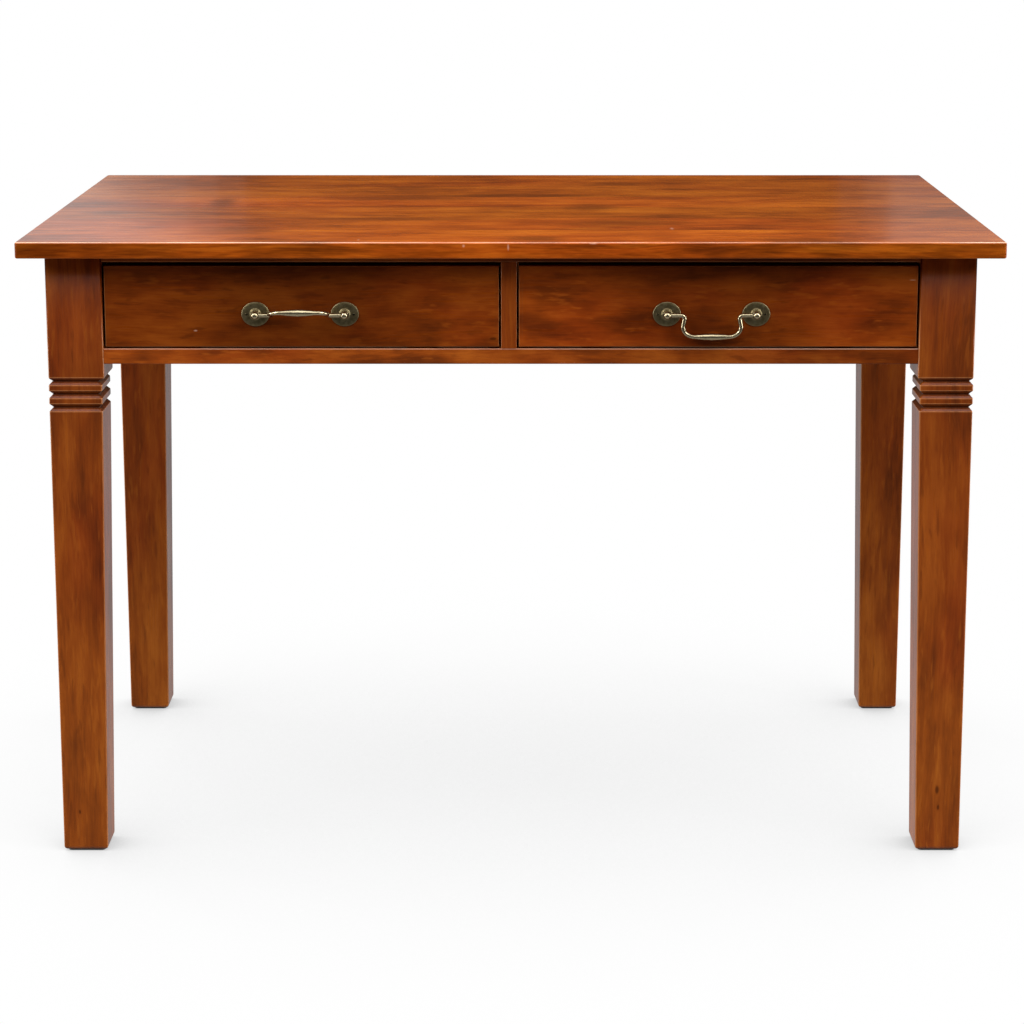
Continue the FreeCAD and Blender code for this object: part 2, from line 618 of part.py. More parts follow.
def make_bail():
    """Two bent arms with pins that enter the posts, and a grip that swells in the middle."""
    edges, grip_start = bail_path()
    section = Part.Wire([Part.Circle(edges[0].Vertexes[0].Point, V(1, 0, 0), BAIL_ROD_RADIUS).toShape()])
    arm = Part.Wire(edges).makePipeShell([section], True, False)
    pin_start = V(BAIL_PIN_START - POST_SPACING / 2, 0, HANDLE_STANDOFF)
    pin = Part.makeCylinder(BAIL_PIN_RADIUS, BAIL_SHOULDER - BAIL_PIN_START, pin_start, V(1, 0, 0))
    left = [arm, pin]
    right = [shape.mirror(V(0, 0, 0), V(1, 0, 0)) for shape in left]

    half = -grip_start.x
    axis_point = V(0, -BAIL_DROP, HANDLE_STANDOFF)
    corners = [V(x, -BAIL_DROP, HANDLE_STANDOFF) for x in (half, -half)]
    swell = Part.Arc(
        corners[1] + V(0, BAIL_ROD_RADIUS, 0), axis_point + V(0, GRIP_RADIUS, 0),
        corners[0] + V(0, BAIL_ROD_RADIUS, 0)).toShape()
    sides = [
        Part.makeLine(corners[0] + V(0, BAIL_ROD_RADIUS, 0), corners[0]),
        Part.makeLine(corners[0], corners[1]),
        Part.makeLine(corners[1], corners[1] + V(0, BAIL_ROD_RADIUS, 0)),
    ]
    grip = Part.Face(Part.Wire([swell] + sides)).revolve(axis_point, V(1, 0, 0), 360)
    return fuse(left + right + [grip])


def make_nut():
    radius = NUT_ACROSS_FLATS / 2 / math.cos(math.pi / 6)
    corners = [V(radius * math.cos(step * math.pi / 3), radius * math.sin(step * math.pi / 3), 0)
               for step in range(6)]
    start = FRONT_THICKNESS + WASHER_THICKNESS + NUT_THICKNESS
    nut = polygon_face(corners).extrude(UP * NUT_THICKNESS)
    nut = nut.cut(Part.makeCylinder(POST_SHANK_RADIUS + HOLE_EASE, NUT_THICKNESS))
    nut.translate(-UP * start)
    return nut


def make_washer():
    start = -UP * (FRONT_THICKNESS + WASHER_THICKNESS)
    disc = Part.makeCylinder(WASHER_RADIUS, WASHER_THICKNESS, start)
    return disc.cut(Part.makeCylinder(POST_SHANK_RADIUS + HOLE_EASE, WASHER_THICKNESS, start))


def make_rosette_nail(outward):
    start = V(outward * NAIL_OFFSET, 0, ROSETTE_THICKNESS)
    head = Part.makeCylinder(NAIL_HEAD_RADIUS, NAIL_HEAD_HEIGHT, start)
    head = rounded(head, NAIL_HEAD_HEIGHT / 2, lambda c: near(c.z, ROSETTE_THICKNESS + NAIL_HEAD_HEIGHT))
    return fuse([head, Part.makeCylinder(NAIL_RADIUS, NAIL_LENGTH, start, -UP)])


def make_handle(name, x, raised):
    prefix = name + "_handle_"
    groups = {"nuts": [], "washers": [], "nails": []}
    for edge, sign in SIDES.items():
        post_x = x + sign * POST_SPACING / 2
        nodes[prefix + edge + "_rosette"] = on_drawer(make_rosette(sign), post_x)
        nodes[prefix + edge + "_post"] = on_drawer(make_post(-sign), post_x)
        groups["nuts"].append(on_drawer(make_nut(), post_x))
        groups["washers"].append(on_drawer(make_washer(), post_x))
        groups["nails"].append(on_drawer(make_rosette_nail(sign), post_x))
    for group, solids in groups.items():
        nodes[prefix + group] = Part.makeCompound(solids)
    bail = make_bail()
    bail.rotate(V(0, 0, HANDLE_STANDOFF), V(1, 0, 0), -raised)
    nodes[prefix + "bail"] = on_drawer(bail, x)


# Assembly

def make_frame():
    screw_places = kicker_screw_places()
    every_place = [place for places in screw_places.values() for place in places]
    nodes["desk_top"] = with_screw_holes(make_top(), every_place, KICKER_BOTTOM, TOP_SCREW_LENGTH, 1)
    for end_name, end in ENDS.items():
        for side_name, side in SIDES.items():
            corner = end_name + "_" + side_name
            nodes[corner + "_leg"] = make_leg(side, end)
            nodes[corner + "_foot_pad"] = make_foot_pad(side, end)
    for name, side in SIDES.items():
        nodes[name + "_apron"] = make_side_apron(side)
    nodes["back_apron"] = make_back_apron()
    nodes["upper_front_rail"] = with_screw_holes(
        make_upper_rail(), screw_places["upper_front_rail"], KICKER_BOTTOM, TOP_SCREW_LENGTH, 1)
    nodes["lower_front_rail"] = make_lower_rail()
    nodes["centre_divider"] = make_divider()
    make_drawer_supports()
    nodes["drawer_stops"] = make_drawer_stops()
    nodes["top_screws"] = Part.makeCompound(
        [screw(x, y, KICKER_BOTTOM, TOP_SCREW_LENGTH, 1) for x, y in every_place])
    guide_places = [place for places in guide_screw_places().values() for place in places]
    nodes["guide_screws"] = Part.makeCompound(
        [screw(x, y, RUNNER_TOP + GUIDE_HEIGHT, GUIDE_SCREW_LENGTH, -1) for x, y in guide_places])


make_frame()
make_drawer_box("left", LEFT_HANDLE_X)
make_drawer_box("right", RIGHT_HANDLE_X)
make_handle("left", LEFT_HANDLE_X, LEFT_BAIL_RAISED)
make_handle("right", RIGHT_HANDLE_X, 0)

os.makedirs("parts", exist_ok=True)
for node_name, shape in nodes.items():
    shape.exportStep(os.path.join("parts", node_name + ".step"))
    print(node_name, len(shape.Solids), "solid", "valid" if shape.isValid() else "NOT VALID", round(shape.Volume))
print(len(nodes), "nodes")
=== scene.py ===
import json
import math

import bmesh
import bpy
from mathutils import Matrix, Quaternion, Vector

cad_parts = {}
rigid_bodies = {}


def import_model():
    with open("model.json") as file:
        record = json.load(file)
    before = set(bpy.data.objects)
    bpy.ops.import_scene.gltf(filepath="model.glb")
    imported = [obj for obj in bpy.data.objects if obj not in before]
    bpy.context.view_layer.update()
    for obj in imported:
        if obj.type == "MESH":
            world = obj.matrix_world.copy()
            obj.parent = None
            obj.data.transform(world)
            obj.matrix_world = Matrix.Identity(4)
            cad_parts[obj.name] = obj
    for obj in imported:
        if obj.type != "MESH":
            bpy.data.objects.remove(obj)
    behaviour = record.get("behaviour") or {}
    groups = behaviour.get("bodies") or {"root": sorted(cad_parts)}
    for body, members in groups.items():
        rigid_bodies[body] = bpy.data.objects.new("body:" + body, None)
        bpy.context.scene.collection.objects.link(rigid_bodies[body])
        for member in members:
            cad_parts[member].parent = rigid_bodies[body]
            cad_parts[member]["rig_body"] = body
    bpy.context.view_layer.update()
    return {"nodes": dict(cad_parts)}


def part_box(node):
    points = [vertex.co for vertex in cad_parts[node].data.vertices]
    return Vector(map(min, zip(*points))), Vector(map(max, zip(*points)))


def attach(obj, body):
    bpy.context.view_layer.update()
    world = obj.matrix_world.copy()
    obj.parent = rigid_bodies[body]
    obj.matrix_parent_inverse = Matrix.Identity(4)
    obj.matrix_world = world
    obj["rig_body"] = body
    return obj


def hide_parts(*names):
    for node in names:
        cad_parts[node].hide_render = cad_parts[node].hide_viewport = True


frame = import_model()

# Looks of the writing desk, in metres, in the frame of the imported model:
# X runs to the sitter's right, Y to the back and Z up.

MM = 0.001
SIDES = {"left": -1, "right": 1}
ENDS = {"front": -1, "back": 1}

# Legs: how far the foot and the shaft reach from the outer faces, the grooves, and the rounding of edges.
# The highest groove has its middle at GROOVE_TOP.
LEG_FOOT = 55 * MM
LEG_SHAFT = 65 * MM
FOOT_ROUNDING = 4.5 * MM
BLOCK_END = 605.2 * MM
GROOVE_TOP = 601.4 * MM
GROOVE_PITCH = 16.2 * MM
GROOVE_HALF = 4.7 * MM
GROOVE_DEPTH = 4.4 * MM
GROOVES = 3
LEG_ARRIS = 1.8 * MM
RING_EASE = 0.8 * MM
BLOCK_EASE = 2.5 * MM

# Handles, with angles in degrees
POST_SPACING = 108 * MM
HANDLE_STANDOFF = 11 * MM
COLLAR_RADIUS = 6 * MM
COLLAR_HEIGHT = 1.6 * MM
ROSETTE_THICKNESS = 2 * MM
BALL_RADIUS = 4.75 * MM
SHANK_RADIUS = 2 * MM
SHANK_END = -27 * MM
PIN_RADIUS = 1.7 * MM
PIN_START = 1.2 * MM
BAIL_SHOULDER = 5.2 * MM
BAIL_STUB = 16.6 * MM
ROD_RADIUS = 2.55 * MM
BEND_RADIUS = 4.2 * MM
BAIL_LEAN = 12.0
CORNER_RADIUS = 11 * MM
CORNER_TURN = 70.0
FOOT_RADIUS = 18 * MM
BAIL_DROP = 26.2 * MM
GRIP_RADIUS = 4.1 * MM
GRIP_RIDGE = 0.35 * MM
GRIP_RIDGE_WIDTH = 1.4 * MM
LEFT_BAIL_RAISED = 106.0

# Glue joints between the boards of the top, along Y
BOARD_JOINTS = (-0.242, -0.131, -0.022, 0.088, 0.205)

# Camera at the photograph's viewpoint
PHOTO_SIZE = 1024
SENSOR = 36.0
FOCAL_PIXELS = 2603.8
IMAGE_CENTRE = (526.0, 358.0)
CAMERA_PLACE = (0.0182, -3.4139, 1.2093)
CAMERA_TILT = 0.1843

# Levels between which most of a noise lies
MOST_NOISE = (0.3, 0.7)


class Tree:
    """Node tree of a material or the world, with short ways to add and join nodes."""

    def __init__(self, owner, shader="Principled BSDF"):
        owner.use_nodes = True
        self.owner = owner
        self.graph = owner.node_tree
        self.shader = self.graph.nodes[shader]

    def join(self, socket, value):
        if isinstance(value, bpy.types.NodeSocket):
            self.graph.links.new(value, socket)
        else:
            socket.default_value = value

    def finish_with(self, **values):
        """Joins the shader's sockets, named with underscores for spaces."""
        for name, value in values.items():
            self.join(self.shader.inputs[name.replace("_", " ")], value)
        return self.owner

    def add(self, kind, inputs=None, output=0, **settings):
        node = self.graph.nodes.new("ShaderNode" + kind)
        for name, value in settings.items():
            setattr(node, name, value)
        for socket, value in (inputs or {}).items():
            self.join(node.inputs[socket], value)
        return node.outputs[output]

    def place(self):
        return self.add("TexCoord", output="Object")

    def facing(self):
        return self.add("TexCoord", output="Normal")

    def math(self, operation, *values):
        return self.add("Math", dict(enumerate(values)), operation=operation)

    def vector(self, operation, *values):
        return self.add("VectorMath", dict(enumerate(values)), operation=operation)

    def length(self, vector):
        return self.add("VectorMath", {0: vector}, output="Value", operation="LENGTH")

    def combine(self, x, y, z):
        return self.add("CombineXYZ", {0: x, 1: y, 2: z})

    def apart(self, vector):
        node = self.graph.nodes.new("ShaderNodeSeparateXYZ")
        self.join(node.inputs[0], vector)
        return list(node.outputs)

    def noise(self, vector, scale=1.0, detail=2.0, roughness=0.5, output="Fac"):
        inputs = {"Vector": vector, "Scale": scale, "Detail": detail, "Roughness": roughness}
        return self.add("TexNoise", inputs, output=output)

    def grain(self, vector, along, across, detail=2.0, roughness=0.5, output="Fac"):
        """Noise with its own waves per metre along the grain, which is X here, and across it."""
        waved = self.vector("MULTIPLY", vector, (along, across, across))
        return self.noise(waved, 1.0, detail, roughness, output)

    def span(self, value, low, high, to_low=0.0, to_high=1.0):
        """Smooth step of a value between two levels."""
        inputs = {0: value, 1: low, 2: high, 3: to_low, 4: to_high}
        return self.add("MapRange", inputs, interpolation_type="SMOOTHSTEP")

    def mix(self, factor, a, b, blend="MIX"):
        inputs = {0: factor, 6: a, 7: b}
        return self.add("Mix", inputs, output=2, data_type="RGBA", blend_type=blend)

    def tinted(self, colour, tint):
        return self.mix(1.0, colour, tint, "MULTIPLY")

    def dimmed(self, colour, factor):
        return self.tinted(colour, self.combine(factor, factor, factor))

    def ramp(self, factor, stops):
        node = self.graph.nodes.new("ShaderNodeValToRGB")
        self.join(node.inputs[0], factor)
        elements = node.color_ramp.elements
        while len(elements) < len(stops):
            elements.new(0.5)
        for element, (place, colour) in zip(elements, stops):
            element.position = place
            element.color = colour
        return node.outputs[0]

    def bump(self, height, strength, distance):
        return self.add("Bump", {"Strength": strength, "Distance": distance, "Height": height})


def new_paint(name):
    return Tree(bpy.data.materials.new(name))


def shade(colour, factor):
    return tuple(part * factor for part in colour[:3]) + (1.0,)


def times(colour, other):
    return tuple(a * b for a, b in zip(colour[:3], other[:3])) + (1.0,)


# Wood

GRAIN_ORDER = {"x": (0, 1, 2), "y": (1, 2, 0), "z": (2, 0, 1)}
STAIN = (0.300, 0.0590, 0.0062, 1)
STAIN_TOP = (0.285, 0.0630, 0.0048, 1)
STAIN_FRONT = (0.300, 0.0540, 0.0048, 1)
STAIN_DARK = (0.48, 0.48, 0.70, 1)
STAIN_LIGHT = (1.45, 1.75, 1.80, 1)
STAIN_RED = (0.93, 0.78, 0.90, 1)
# Worn wood on arrises and ring edges, partly a painted highlight
STAIN_WORN_AND_HIGHLIGHT = (0.600, 0.2600, 0.0900, 1)
# Pale wood of nicks, and the colour of painted highlights on upper arrises
STAIN_NICKS_AND_HIGHLIGHT = (0.920, 0.6600, 0.5000, 1)
# Painted shade of the top's edge faces
STAIN_EDGE_SHADE = (0.57, 0.52, 0.43, 1)
STAIN_FADED = (1.30, 1.48, 1.60, 1)
PALE_DARK = (0.330, 0.190, 0.090, 1)
PALE_MIDDLE = (0.500, 0.340, 0.190, 1)
PALE_LIGHT = (0.620, 0.460, 0.280, 1)

# Grain layers, pores and borders of darker patches: waves per metre along and across the grain, detail and
# roughness
GRAIN_LAYERS = {
    "clouds": (2.8, 13.0, 2.0, 0.50),
    "mottle": (14.0, 36.0, 3.0, 0.55),
    "figure": (6.0, 42.0, 3.0, 0.55),
    "streaks": (10.0, 180.0, 3.0, 0.55),
    "fibres": (30.0, 620.0, 2.0, 0.50),
}
PORES = (70.0, 1500.0, 1.0, 0.40)
PATCH_BORDERS = (22.0, 150.0, 3.0, 0.60)
PATCH_RAGGEDNESS = 1.6

# Cuts of the wood: weight of each layer in the tone, and waves per metre of the flecks and of the red
# patches, along and across the grain
CUTS = {
    "plain": {"clouds": 0.62, "figure": 0.52, "streaks": 0.30, "fibres": 0.16},
    "top": {"clouds": 0.54, "mottle": 0.30, "figure": 0.42, "streaks": 0.30, "fibres": 0.30},
    "mottled": {"clouds": 0.46, "mottle": 0.66, "figure": 0.40, "streaks": 0.20, "fibres": 0.16},
    "leg": {"clouds": 0.44, "mottle": 0.30, "figure": 0.50, "streaks": 0.24, "fibres": 0.16},
}
FLECK_WAVES = {"plain": (9.0, 190.0), "top": (5.0, 110.0), "mottled": (34.0, 150.0), "leg": (22.0, 170.0)}
RED_WAVES = {"plain": (2.0, 7.0), "top": (2.0, 7.0), "mottled": (7.0, 15.0), "leg": (5.0, 15.0)}

# Sway of the grain: waves per metre along and across it, and how far it strays
SWAYS = [(1.6, 4.0, 0.045), (12.0, 24.0, 0.005)]

# Boards of the top: each is lighter or darker and shifted by a wave of its number, and its figure is wider
# than in the other wood. The reaches are metres of wood from one seed or board to the next.
SEED_REACH = 2.37
BOARD_REACH = 1.93
BOARD_TURN = 2.4
BOARD_PHASE = 0.4
BOARD_TONE = 0.07
BOARD_SHIFT = 0.05
TOP_FIGURE_WIDTH = 1.8

# Knots: their length along the grain and how far they push it aside, with spans in radii of the knot
KNOT_STRETCH = 2.2
KNOT_PUSH = -0.6
KNOT_REACH = (0.6, 3.6, 1.0, 0.0)
KNOT_HEART = (1.1, 0.4)

# Relief of the grain: weight of each part in the height, and the height itself
RELIEF_WEIGHTS = {"streaks": 0.6, "fibres": 0.35, "pores": -0.5}
RELIEF_HEIGHT = 0.4 * MM

# Spans of a noise or a distance, and what they give if that isn't 0 to 1
PORE_SPAN = (0.62, 0.72)
RED_SPAN = (0.42, 0.68)
LIGHT_FLECKS = (0.58, 0.72, 0.0, 0.45)
DARK_FLECKS = (0.40, 0.28, 0.0, 0.45)
GLUE_LINE = (0.3 * MM, 1.2 * MM, 0.4, 0.0)
MARK_FADE = (1.4, 0.2, 0.0, 0.22)
PATCH_FADE = (2.6, 1.1, 0.0, 0.75)

# Lacquer, and the bare wood inside the desk
WOOD_IOR = 1.13
TOP_IOR = 1.04
COAT_IOR = 1.5
COAT_ROUGHNESS = 0.16
PLAIN_COAT = 0.10
TOP_COAT = 0.60
TOP_EDGE_COAT = 0.05
FRONT_COAT = 0.04
LEG_COAT = 0.42
LACQUER_ROUGHNESS = (0.36, 0.26)
LACQUER_RELIEF = 0.2
BARE_ROUGHNESS = (0.66, 0.52)
BARE_RELIEF = 0.35


def board_number_and_middle(tree, across):
    """Which board of the top a point is in, the middle of that board, and how near a glue joint is."""
    half_depth = -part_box("desk_top")[0].y
    edges = [-half_depth, *BOARD_JOINTS, half_depth]
    middles = [(low + high) / 2 for low, high in zip(edges, edges[1:])]
    number = 0.0
    middle = middles[0]
    nearest = 1.0
    for joint, before, after in zip(BOARD_JOINTS, middles, middles[1:]):
        past = tree.math("GREATER_THAN", across, joint)
        number = tree.math("ADD", past, number)
        middle = tree.math("MULTIPLY_ADD", past, after - before, middle)
        away = tree.math("ABSOLUTE", tree.math("SUBTRACT", across, joint))
        nearest = tree.math("MINIMUM", away, nearest)
    return number, middle, nearest


def around_knots(tree, place, knots):
    """Grain place bent around each knot, and how near a point is to the heart of one."""
    heart = 0.0
    for centre, radius in knots:
        away = tree.vector("SUBTRACT", place, centre)
        shape = (1 / (KNOT_STRETCH * radius), 1 / radius, 1 / radius)
        distance = tree.length(tree.vector("MULTIPLY", away, shape))
        near = tree.span(distance, *KNOT_REACH)
        push = tree.vector("MULTIPLY", away, (0.0, KNOT_PUSH, KNOT_PUSH))
        push = tree.vector("MULTIPLY", push, tree.combine(0.0, near, near))
        place = tree.vector("ADD", place, push)
        heart = tree.math("MAXIMUM", tree.span(distance, *KNOT_HEART), heart)
    return place, heart


def wood_parts(tree, axis, seed, cut="plain", knots=()):
    """Grain of one piece: its noise layers, flecks, pores, red patches, knots and glue joints."""
    place = tree.apart(tree.place())
    along, first, second = (place[index] for index in GRAIN_ORDER[axis])
    parts = {}
    start = SEED_REACH * seed
    if cut == "top":
        number, middle, parts["nearest"] = board_number_and_middle(tree, first)
        wave = tree.math("SINE", tree.math("MULTIPLY_ADD", number, BOARD_TURN, BOARD_PHASE))
        parts["board"] = tree.math("MULTIPLY_ADD", wave, BOARD_TONE, 1.0)
        start = tree.math("MULTIPLY_ADD", number, BOARD_REACH, start)
        first = tree.math("DIVIDE", tree.math("SUBTRACT", first, middle), TOP_FIGURE_WIDTH)
        first = tree.math("MULTIPLY_ADD", wave, BOARD_SHIFT, first)
    straight, parts["heart"] = around_knots(tree, tree.combine(along, first, second), knots)
    straight = tree.vector("ADD", straight, tree.combine(start, 0.0, 0.0))
    for long, cross, reach in SWAYS:
        sway = tree.grain(straight, long, cross, output="Color")
        sway = tree.vector("SUBTRACT", sway, (0.5, 0.5, 0.5))
        straight = tree.vector("ADD", straight, tree.vector("MULTIPLY", sway, (0.0, reach, reach)))
    for name in CUTS[cut]:
        parts[name] = tree.grain(straight, *GRAIN_LAYERS[name])
    parts["flecks"] = tree.grain(straight, *FLECK_WAVES[cut])
    parts["reds"] = tree.grain(straight, *RED_WAVES[cut])
    parts["pores"] = tree.span(tree.grain(straight, *PORES), *PORE_SPAN)
    return parts


def wood_depth(tree, parts, contrast, cut="plain"):
    """Grain value of a point, about 0 in dark wood and 1 in light wood."""
    value = 0.5
    for name, weight in CUTS[cut].items():
        value = tree.math("ADD", tree.math("MULTIPLY_ADD", parts[name], weight, -weight / 2), value)
    return tree.math("MULTIPLY_ADD", tree.math("SUBTRACT", value, 0.5), 2 * contrast, 0.5)


def wood_relief(tree, parts, strength):
    """Slight relief of the grain, with the pores sunk in it."""
    height = 0.0
    for name, weight in RELIEF_WEIGHTS.items():
        height = tree.math("MULTIPLY_ADD", parts[name], weight, height)
    return tree.bump(height, strength, RELIEF_HEIGHT)


def spot_distance(tree, place, centre, half_sizes):
    """Distance from the middle of a spot, one at its border."""
    return tree.length(tree.vector("DIVIDE", tree.vector("SUBTRACT", place, centre), half_sizes))


def pale_marks(tree, colour, marks):
    """Small nicks and scratches that show pale wood."""
    place = tree.place()
    for mark in marks:
        faded = tree.span(spot_distance(tree, place, *mark), *MARK_FADE)
        colour = tree.mix(faded, colour, STAIN_NICKS_AND_HIGHLIGHT)
    return colour


def dark_patches(tree, colour, patches, dark):
    """Patches where the wood is darker, their borders broken up along the grain."""
    place = tree.place()
    ragged = tree.grain(place, *PATCH_BORDERS)
    for patch in patches:
        distance = spot_distance(tree, place, *patch)
        distance = tree.math("MULTIPLY_ADD", ragged, PATCH_RAGGEDNESS, distance)
        colour = tree.mix(tree.span(distance, *PATCH_FADE), colour, dark)
    return colour


# Wear, and painted light and shade: where a finish is worn or deepened, and where light and shade are
# painted, on each kind of piece. Spans along X, Y or Z are in metres, those of grooves in half widths of a
# groove, and those of slopes in parts of the surface's direction.

BOARD_ARRIS_SLOPE = (0.97, 0.80)
LEG_ARRIS_SLOPE = (0.10, 0.40)
# Where the painted highlight on upper arrises starts and ends, in parts of the surface's direction
HIGHLIGHT_START = 0.16
HIGHLIGHT_END = 0.08

# Slopes of the painted highlight on the lower rail's upper arris
RAIL_HIGHLIGHT = (0.2, 0.98)
RAIL_DEEPENING = (-0.15, 0.40, 1.0, 0.60)

LEG_DEEPENING = (0.40, 0.66, 1.0, 0.80)
LEG_FADING = (0.45, 0.10)
LEG_SIDES = (0.5, 0.8)
# Painted shade in the grooves of the legs, on their slopes and bottoms
GROOVE_SLOPE_SHADOW = (1.0, 0.75)
GROOVE_SHADOW_FRONT = 0.25
GROOVE_SHADOW_SIDE = 0.45
GROOVE_SLOPE_SHADE = 0.7
GROOVE_BOTTOM_SHADOW = (0.50, 0.10, 0.0, 0.65)
GROOVE_BOTTOM_SHADE = 0.2
# Painted highlight along the upper edges of the rings
RING_HIGHLIGHT_START = (0.94, 1.02)
RING_HIGHLIGHT_END = (1.24, 1.10)

# Painted shadow around the drawer handles, and lighter wood beside the divider
FRONT_HANDLE_SHADOW = (0.05, 0.18, 0.76, 1.16)
FRONT_INNER = (0.06, 0.24, 1.22, 1.0)

# Edge faces of the top: painted shade and curly figure, deepest at the left
TOP_EDGE_SLOPE = (0.55, 0.25)
TOP_EDGE_LEFT = (-0.55, -0.25, 0.75, 1.0)
TOP_EDGE_CURLS = (15.0, 3.0, 110.0)
TOP_EDGE_TONES = (0.36, 0.64, 0.84, 1.30)
# Painted light: the top lighter towards its near edge
TOP_NEAR_PAINTED_LIGHT = (-0.35, 0.0, 1.14, 1.0)
TOP_ENDS = (0.25, 0.55, 1.0, 0.82)
# Painted highlight on the top's upper arrises, broken into patches
TOP_HIGHLIGHT = (0.54, 0.94)
TOP_HIGHLIGHT_WAVES = 5.0
TOP_HIGHLIGHT_PATCHES = (0.38, 0.60, 0.35, 1.0)

# Darker patches of the top: the middle and half sizes of each
TOP_PATCHES = [
    ((-0.333, -0.230, 0.778), (0.041, 0.025, 0.006)),
    ((-0.522, -0.080, 0.778), (0.023, 0.018, 0.006)),
    ((-0.152, -0.140, 0.778), (0.091, 0.012, 0.006)),
    ((-0.384, 0.023, 0.778), (0.015, 0.048, 0.006)),
    ((0.102, -0.023, 0.778), (0.029, 0.028, 0.006)),
    ((0.140, -0.178, 0.778), (0.070, 0.028, 0.006)),
    ((0.030, -0.320, 0.778), (0.026, 0.019, 0.006)),
    ((0.146, 0.238, 0.778), (0.038, 0.019, 0.006)),
    ((-0.148, 0.071, 0.778), (0.081, 0.018, 0.006)),
]


def surface_slant(tree):
    """Sizes of the three parts of the surface's direction."""
    return tree.apart(tree.vector("ABSOLUTE", tree.facing()))


def board_arris(tree):
    """One on a board's rounded arrises and nothing on its flats."""
    across, along, up = surface_slant(tree)
    flattest = tree.math("MAXIMUM", across, tree.math("MAXIMUM", along, up))
    return tree.span(flattest, *BOARD_ARRIS_SLOPE)


def leg_arris(tree):
    """One on a leg's upright arrises and nothing on its faces and ring slopes."""
    across, along, _ = surface_slant(tree)
    return tree.span(tree.math("MULTIPLY", across, along), *LEG_ARRIS_SLOPE)


def upper_arris_highlight(tree, low, high):
    """Painted highlight mask: one on upper arrises, between two slopes of the surface, and nothing on flats.
    """
    rising = tree.apart(tree.facing())[2]
    above_low = tree.span(rising, low, low + HIGHLIGHT_START)
    below_high = tree.span(rising, high, high - HIGHLIGHT_END)
    return tree.math("MULTIPLY", above_low, below_high)


def groove_distance(tree):
    """How far above or below the nearest groove of a leg a point is, one at the groove's edges."""
    height = tree.apart(tree.place())[2]
    nearest = 1.0
    for step in range(GROOVES):
        away = tree.math("SUBTRACT", height, GROOVE_TOP - step * GROOVE_PITCH)
        nearest = tree.math("MINIMUM", tree.math("ABSOLUTE", away), nearest)
    return tree.math("DIVIDE", nearest, GROOVE_HALF)


def board_finish(tree, colour, wear_and_highlight_mask, dark):
    """Worn arrises, partly a painted highlight."""
    return tree.mix(tree.math("MULTIPLY", board_arris(tree), wear_and_highlight_mask), colour, STAIN_WORN_AND_HIGHLIGHT)


def rail_finish(tree, colour, wear_and_highlight_mask, dark):
    """Wood that deepens to the right, and a painted highlight along its upper arris."""
    x = tree.apart(tree.place())[0]
    colour = tree.dimmed(colour, tree.span(x, *RAIL_DEEPENING))
    # Painted highlight along the upper arris
    painted_highlight = tree.math("MULTIPLY", upper_arris_highlight(tree, *RAIL_HIGHLIGHT), wear_and_highlight_mask)
    return tree.mix(painted_highlight, colour, STAIN_NICKS_AND_HIGHLIGHT)


def leg_finish(tree, colour, wear_and_highlight_mask, dark):
    """Worn arrises, partly painted highlight; painted highlight on ring edges; painted shade in grooves;
    paler low shaft.
    """
    height = tree.apart(tree.place())[2]
    colour = tree.dimmed(colour, tree.span(height, *LEG_DEEPENING))
    colour = tree.mix(tree.span(height, *LEG_FADING), colour, tree.tinted(colour, STAIN_FADED))
    # Worn upright arrises, partly a painted highlight
    colour = tree.mix(tree.math("MULTIPLY", leg_arris(tree), wear_and_highlight_mask), colour, STAIN_WORN_AND_HIGHLIGHT)
    # Painted shade in the grooves, stronger on the side faces
    sideways = tree.span(surface_slant(tree)[0], *LEG_SIDES)
    groove_shadow_share = tree.math("MULTIPLY_ADD", sideways, GROOVE_SHADOW_SIDE, GROOVE_SHADOW_FRONT)
    distance = groove_distance(tree)
    slope_shadow = tree.math("MULTIPLY", tree.span(distance, *GROOVE_SLOPE_SHADOW), groove_shadow_share)
    colour = tree.mix(slope_shadow, colour, shade(dark, GROOVE_SLOPE_SHADE))
    colour = tree.mix(tree.span(distance, *GROOVE_BOTTOM_SHADOW), colour, shade(dark, GROOVE_BOTTOM_SHADE))
    # Painted highlight along the ring edges
    starts = tree.span(distance, *RING_HIGHLIGHT_START)
    ring_highlight = tree.math("MULTIPLY", starts, tree.span(distance, *RING_HIGHLIGHT_END))
    return tree.mix(tree.math("MULTIPLY", ring_highlight, wear_and_highlight_mask), colour, STAIN_WORN_AND_HIGHLIGHT)


def front_finish(tree, colour, wear_and_highlight_mask, dark):
    """Worn arrises, partly a painted highlight, and wood painted darker around the handles as their shadow.
    """
    x = tree.apart(tree.place())[0]
    nearest = 1.0
    for name in SIDES:
        low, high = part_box(f"{name}_handle_bail")
        away = tree.math("ABSOLUTE", tree.math("SUBTRACT", x, (low.x + high.x) / 2))
        nearest = tree.math("MINIMUM", away, nearest)
    # Painted shadow around the handles
    handle_shadow = tree.span(nearest, *FRONT_HANDLE_SHADOW)
    inner = tree.span(tree.math("ABSOLUTE", x), *FRONT_INNER)
    colour = tree.dimmed(colour, tree.math("MULTIPLY", handle_shadow, inner))
    return board_finish(tree, colour, wear_and_highlight_mask, dark)


